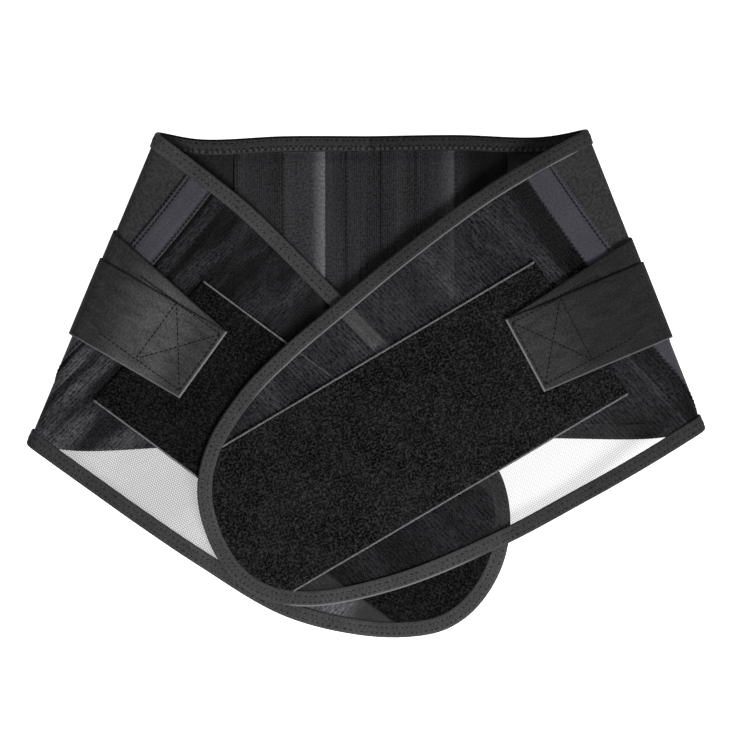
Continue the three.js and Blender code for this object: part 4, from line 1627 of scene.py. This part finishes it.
@dataclass
class EdgeBinding(SidePiece):
    """Folded tape that clasps the belt's edge on one side, with its zigzag stitching."""

    step: float = 2.0
    fold_margin: float = 4.0
    rows: Span = (3.4, 8.0)
    pitch: float = 3.8
    thread_radius: float = 0.16

    def profile(self) -> Array:
        """Section of the folded tape as (inset, level): two walls joined by a half round at the edge.

        Returns:
            The section's corners in order round it.
        """
        layers = self.side.layers
        outer, inner, width, wall = layers.binding_face, layers.slot_face, layers.binding_width, layers.wall
        turn = np.linspace(math.pi / 2, -math.pi / 2, 9)
        fold = np.stack([outer - outer * np.cos(turn), outer * np.sin(turn)], axis=1)
        face = np.array([[width, inner + 0.15], [width - 0.15, outer - 0.25], [width - 0.6, outer - 0.06],
                         [width * 0.72, outer], [width * 0.45, outer], [width * 0.28, outer]])
        slot = np.array([[width, inner], [width * 0.5, inner], [wall + 0.4, inner], [wall, 0.0]])
        under = face[::-1] * [1, -1]
        back = slot[-2::-1] * [1, -1]
        return np.vstack([face, fold, under, back, slot[::-1]])

    def build(self) -> list[Piece]:
        """Carries the section along the edge, then sews it on both faces."""
        side, section = self.side, self.profile()
        length = float(side.run[-1])
        run = np.linspace(0, length, int(length / self.step) + 1)
        fine = np.abs(np.interp(run, side.run, side.outline[:, 0])) < side.quarter + self.fold_margin
        run = np.unique(np.concatenate([run, (run[:-1] + self.step / 2)[fine[:-1]]]))
        places, inset = np.meshgrid(run, section[:, 0], indexing="ij")
        across, down = side.along_edge(places, inset)
        points = side.point(across, down, np.broadcast_to(section[:, 1], across.shape))
        rings, corners = across.shape
        faces = grid_faces(rings, corners, wrap=True)
        half = corners // 2
        low = np.arange(half - 1)
        cap = np.stack([low, low + 1, corners - 2 - low, corners - 1 - low], axis=-1)
        cap = cap[cap[:, 1] < cap[:, 2]]
        faces = np.vstack([faces, cap[:, ::-1], cap + (rings - 1) * corners])
        made = Gathered()
        made.add(points, outward(points, faces), np.stack([places, inset], axis=-1))
        tape = made.build(f"edge_tape_{side.word}", self.finishes.bindings[side.shape.hand])
        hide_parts(f"edge_binding_{side.word}")
        sewn = Gathered()
        across, down = zigzag(side.along_edge, length, self.rows, self.pitch)
        for face in (side.layers.binding_face, -side.layers.binding_face):
            threads(sewn, side, across, down, face, self.thread_radius)
        stitches = sewn.build(f"edge_stitches_{side.word}", self.finishes.grey_thread)
        return [tape, stitches]


class Band(Enum):
    """The two elastic bands of a strap."""

    UPPER = 0
    LOWER = 1


@dataclass
class Strap(SidePiece):
    """Pair of elastic bands from under the back round the fold to a sewn end on the wing."""

    end: tuple[float, float]
    tilts: dict[Band, float]
    width: float = 62.4
    back_reach: float = 46.0
    hook_length: float = 42.0
    hook_inset: float = 3.0
    lift: Span = (-8.0, 25.0)
    cut_start: float = 0.3
    tries: int = 900
    lines: tuple[int, int, int] = (60, 41, 44)
    front_rounding: tuple[float, ...] = (1.97, 1.98, 1.988, 1.994, 1.998, 2.0)
    stitch_inset: float = 4.5
    box_gap: float = 0.5
    side_line: float = 34.0
    stitch: float = 3.4
    stitch_gap: float = 0.4
    thread_radius: float = 0.4

    @property
    def end_tilt(self) -> float:
        """Angle of the front end's cut."""
        return math.radians(sum(self.tilts.values()) / 2)

    def base(self, across: Array, band: Band) -> Array:
        """Level of a band's underside: it rises off the elastic to the hook patch once past the fold."""
        layers = self.side.layers
        share = smoothstep(across, *self.lift)
        return lerp(layers.strap_base_back, layers.strap_base_front, share) + band.value * layers.strap_pitch

    def pattern(self, u: Array, v: Array, band: Band) -> Pattern:
        """Position on a band.

        Args:
            u: -2 at the back end, -1 and 1 at the ends of the bend, 2 at the front end.
            v: -1 on the upper edge, 1 on the lower.
            band: which band.

        Returns:
            "Across" and "down".
        """
        side, tilt = self.side, math.radians(self.tilts[band])

        def middle(across: Array) -> Array:
            """"Down" of the band's middle line."""
            return self.end[1] - (self.end[0] - across) * math.tan(tilt)

        tried = np.linspace(-side.quarter, -side.shape.wing_length, self.tries)
        reach = (side.plan(-tried - side.slack, middle(tried))[:, 0] - side.back.centre) * side.hand
        back_end = float(np.interp(-self.back_reach, -reach, tried))
        stretch = np.maximum(np.abs(u) - 1, 0)
        across = lerp(np.clip(u, -1, 1) * side.quarter, np.where(u > 0, self.end[0], back_end), stretch)
        cut = np.where(u > 0, self.end_tilt, tilt) * smoothstep(stretch, self.cut_start, 1)
        half = v * self.width / 2 / np.cos(cut - tilt)
        return across - half * np.sin(cut), middle(across) + half * np.cos(cut)

    def band(self, band: Band) -> Piece:
        """One elastic band as a rounded sheet.

        Args:
            band: which band.

        Returns:
            The piece.
        """
        side, layers = self.side, self.side.layers
        v_lines = eased(self.width, 2.2, 0.6) * 2 - 1
        stops = (-2, -1, 1, self.front_rounding[0])
        even = [np.linspace(a, b, count)[:-1] for a, b, count in zip(stops, stops[1:], self.lines)]
        u_lines = np.concatenate([*even, self.front_rounding])
        u, v = np.meshgrid(u_lines, v_lines, indexing="ij")
        across, down = self.pattern(u, v, band)
        middle = len(v_lines) // 2
        steps = np.diff([across[:, middle], down[:, middle]], axis=1)
        run = np.concatenate([[0], np.cumsum(np.hypot(*steps))])
        length = float(run[-1])

        faces = (lambda a, d: self.base(a, band), lambda a, d: self.base(a, band) + layers.strap)
        made = Gathered()
        cloth(made, side, lambda a, b: (across, down), (length, self.width), faces, rim=0.6,
              shares=(run / length, (v_lines + 1) / 2),
              mapping=lambda a, b: ((1 - a) * length, (b - 0.5) * self.width))
        webbing = self.finishes.straps[side.shape.hand]
        piece = made.build(f"strap_band_{band.name.lower()}_{side.word}", webbing)
        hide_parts(f"strap_{band.name.lower()}_{side.word}")
        self.width * METRES
        f"loop_pile_{side.word}"
        f"side_elastic_cloth_{side.word}"
        return piece

    def end_frame(self, back: Array, offset: Array) -> Pattern:
        """Pattern position of a distance back from the front end and an offset from its middle."""
        c, s = math.cos(self.end_tilt), math.sin(self.end_tilt)
        return self.end[0] - back * c - offset * s, self.end[1] - back * s + offset * c

    def hook(self) -> Piece:
        """Hook patch under the front end."""
        layers = self.side.layers
        half = self.width / 2 - self.hook_inset
        faces = (level_of(layers.hook_base), level_of(layers.hook_base + layers.hook))

        def pattern(u: Array, v: Array) -> Pattern:
            """Position at a share along the patch and a share across it."""
            return self.end_frame(self.hook_inset + u * self.hook_length, (2 * v - 1) * half)

        made = Gathered()
        cloth(made, self.side, pattern, (self.hook_length, 2 * half), faces)
        piece = made.build(f"hook_patch_{self.side.word}", self.finishes.hook)
        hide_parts(f"strap_hook_{self.side.word}")
        self.hook_length * METRES
        2 * half * METRES
        f"loop_pile_{self.side.word}"
        return piece

    def stitching(self) -> Piece:
        """Box and cross that sew the two bands together, and a line of stitches down each long edge."""
        layers, made = self.side.layers, Gathered()
        half = self.width / 2 - self.stitch_inset
        near, far = self.hook_inset + self.box_gap, self.hook_inset + self.hook_length
        a, b, c, d = (near, -half), (near, half), (far, -half), (far, half)
        ends = [(a, b), (a, c), (b, d), (a, d), (b, c), (c, d)]
        ends += [((far, side * half), (far + self.side_line, side * half)) for side in (-1, 1)]
        face = layers.strap_base_front + layers.strap_pitch + layers.strap
        for (b0, o0), (b1, o1) in ends:
            length = math.hypot(b1 - b0, o1 - o0)
            across, down = running(
                lambda r, o: self.end_frame(lerp(b0, b1, r / length), lerp(o0, o1, r / length)), length,
                self.stitch, self.stitch_gap)
            threads(made, self.side, across, down, face, self.thread_radius)
        piece = made.build(f"strap_stitches_{self.side.word}", self.finishes.dark_thread)
        return piece

    def build(self) -> list[Piece]:
        """Makes both bands, the hook patch and the stitching."""
        return [self.band(Band.UPPER), self.band(Band.LOWER), self.hook(), self.stitching()]


@dataclass
class Studio:
    """Plain pale floor, soft light and the camera straight above."""

    eye: tuple[float, float] = (2.4, 11.07)
    eye_height: float = 3.0
    view_width: float = 0.5683
    view_level: float = 0.008
    sky: float = 0.42
    key_place: Triple = (0.6, -1.0, 1.2)
    key_size: float = 0.6
    key_power: float = 46.0
    fill_place: Triple = (-0.9, 0.9, 1.6)
    fill_size: float = 1.0
    fill_share: float = 0.12
    sensor: float = 36.0
    floor_half: float = 6.0
    floor_glow: float = 1.2

    def build(self) -> None:
        """Makes the floor, the lights and the camera."""
        scene = bpy.context.scene
        scene.view_settings.view_transform = "Standard"
        self.floor()
        world = bpy.data.worlds.new("soft_room")
        world.use_nodes = True
        background = world.node_tree.nodes["Background"]
        background.inputs["Color"].default_value = (1.0, 1.0, 1.0, 1.0)
        background.inputs["Strength"].default_value = self.sky
        scene.world = world
        self.softbox("key_light", self.key_place, self.key_size, self.key_power)
        self.softbox("fill_light", self.fill_place, self.fill_size, self.key_power * self.fill_share)
        data = bpy.data.cameras.new("camera")
        data.sensor_width = self.sensor
        data.lens = self.sensor * (self.eye_height - self.view_level) / self.view_width
        data.clip_start, data.clip_end = 0.05, 50.0
        camera = bpy.data.objects.new("camera", data)
        camera.location = (self.eye[0] * METRES, self.eye[1] * METRES, self.eye_height)
        scene.collection.objects.link(camera)
        scene.camera = camera

    def floor(self) -> None:
        """A wide flat sheet of pale card, which glows so that no shadow shows on it."""
        mesh = bpy.data.meshes.new("floor")
        signs = ((-1, -1), (1, -1), (1, 1), (-1, 1))
        corners = [(x * self.floor_half, y * self.floor_half, 0.0) for x, y in signs]
        mesh.from_pydata(corners, [], [(0, 1, 2, 3)])
        g = Graph("pale_card")
        mesh.materials.append(g.finish((0.5, 0.5, 0.5), 0.9, specular=0.0, glow=self.floor_glow))
        floor = bpy.data.objects.new("floor", mesh)
        bpy.context.scene.collection.objects.link(floor)

    def softbox(self, name: str, place: Triple, size: float, power: float) -> None:
        """A square area light that faces the belt.

        Args:
            name: its name.
            place: where it hangs.
            size: its side.
            power: its power in watts.
        """
        data = bpy.data.lights.new(name, "AREA")
        data.energy, data.size = power, size
        light = bpy.data.objects.new(name, data)
        way = -np.array(place) / np.linalg.norm(place)
        light.location = place
        light.rotation_euler = (math.acos(-way[2]), 0.0, math.atan2(-way[0], way[1]))
        bpy.context.scene.collection.objects.link(light)


def main() -> None:
    """Builds the belt piece by piece, then the studio round it."""
    logging.basicConfig(level=logging.INFO, format="%(name)s: %(message)s")
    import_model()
    layers, shape = Layers(), BackShape()
    left, right = (BeltSide(side, shape, layers) for side in (LEFT_SHAPE, RIGHT_SHAPE))
    finishes = Finishes.make(Strap.width)
    parts = [BackPanel(Back(left, right), finishes)]
    for side in (left, right):
        parts += [SideElastic(side, finishes), WingNet(side, finishes), SideChannel(side, finishes)]
    parts += [
        LoopPanel(left, finishes, start=(80.5, 91.6), turn=14.0, slant=6.0),
        LoopPanel(right, finishes, start=(79.6, 79.9), turn=9.1, slant=4.8),
        EdgeBinding(left, finishes),
        EdgeBinding(right, finishes),
        Strap(left, finishes, end=(105.0, 151.8), tilts={Band.UPPER: 19.1, Band.LOWER: 7.8}),
        Strap(right, finishes, end=(112.7, 144.7), tilts={Band.UPPER: 11.4, Band.LOWER: 1.4}),
    ]
    for part in parts:
        for piece in part.build():
            LOG.info("%s: %d faces", piece.name, len(piece.data.polygons))
    Studio().build()
    bpy.context.view_layer.update()


if __name__ == "__main__":
    main()
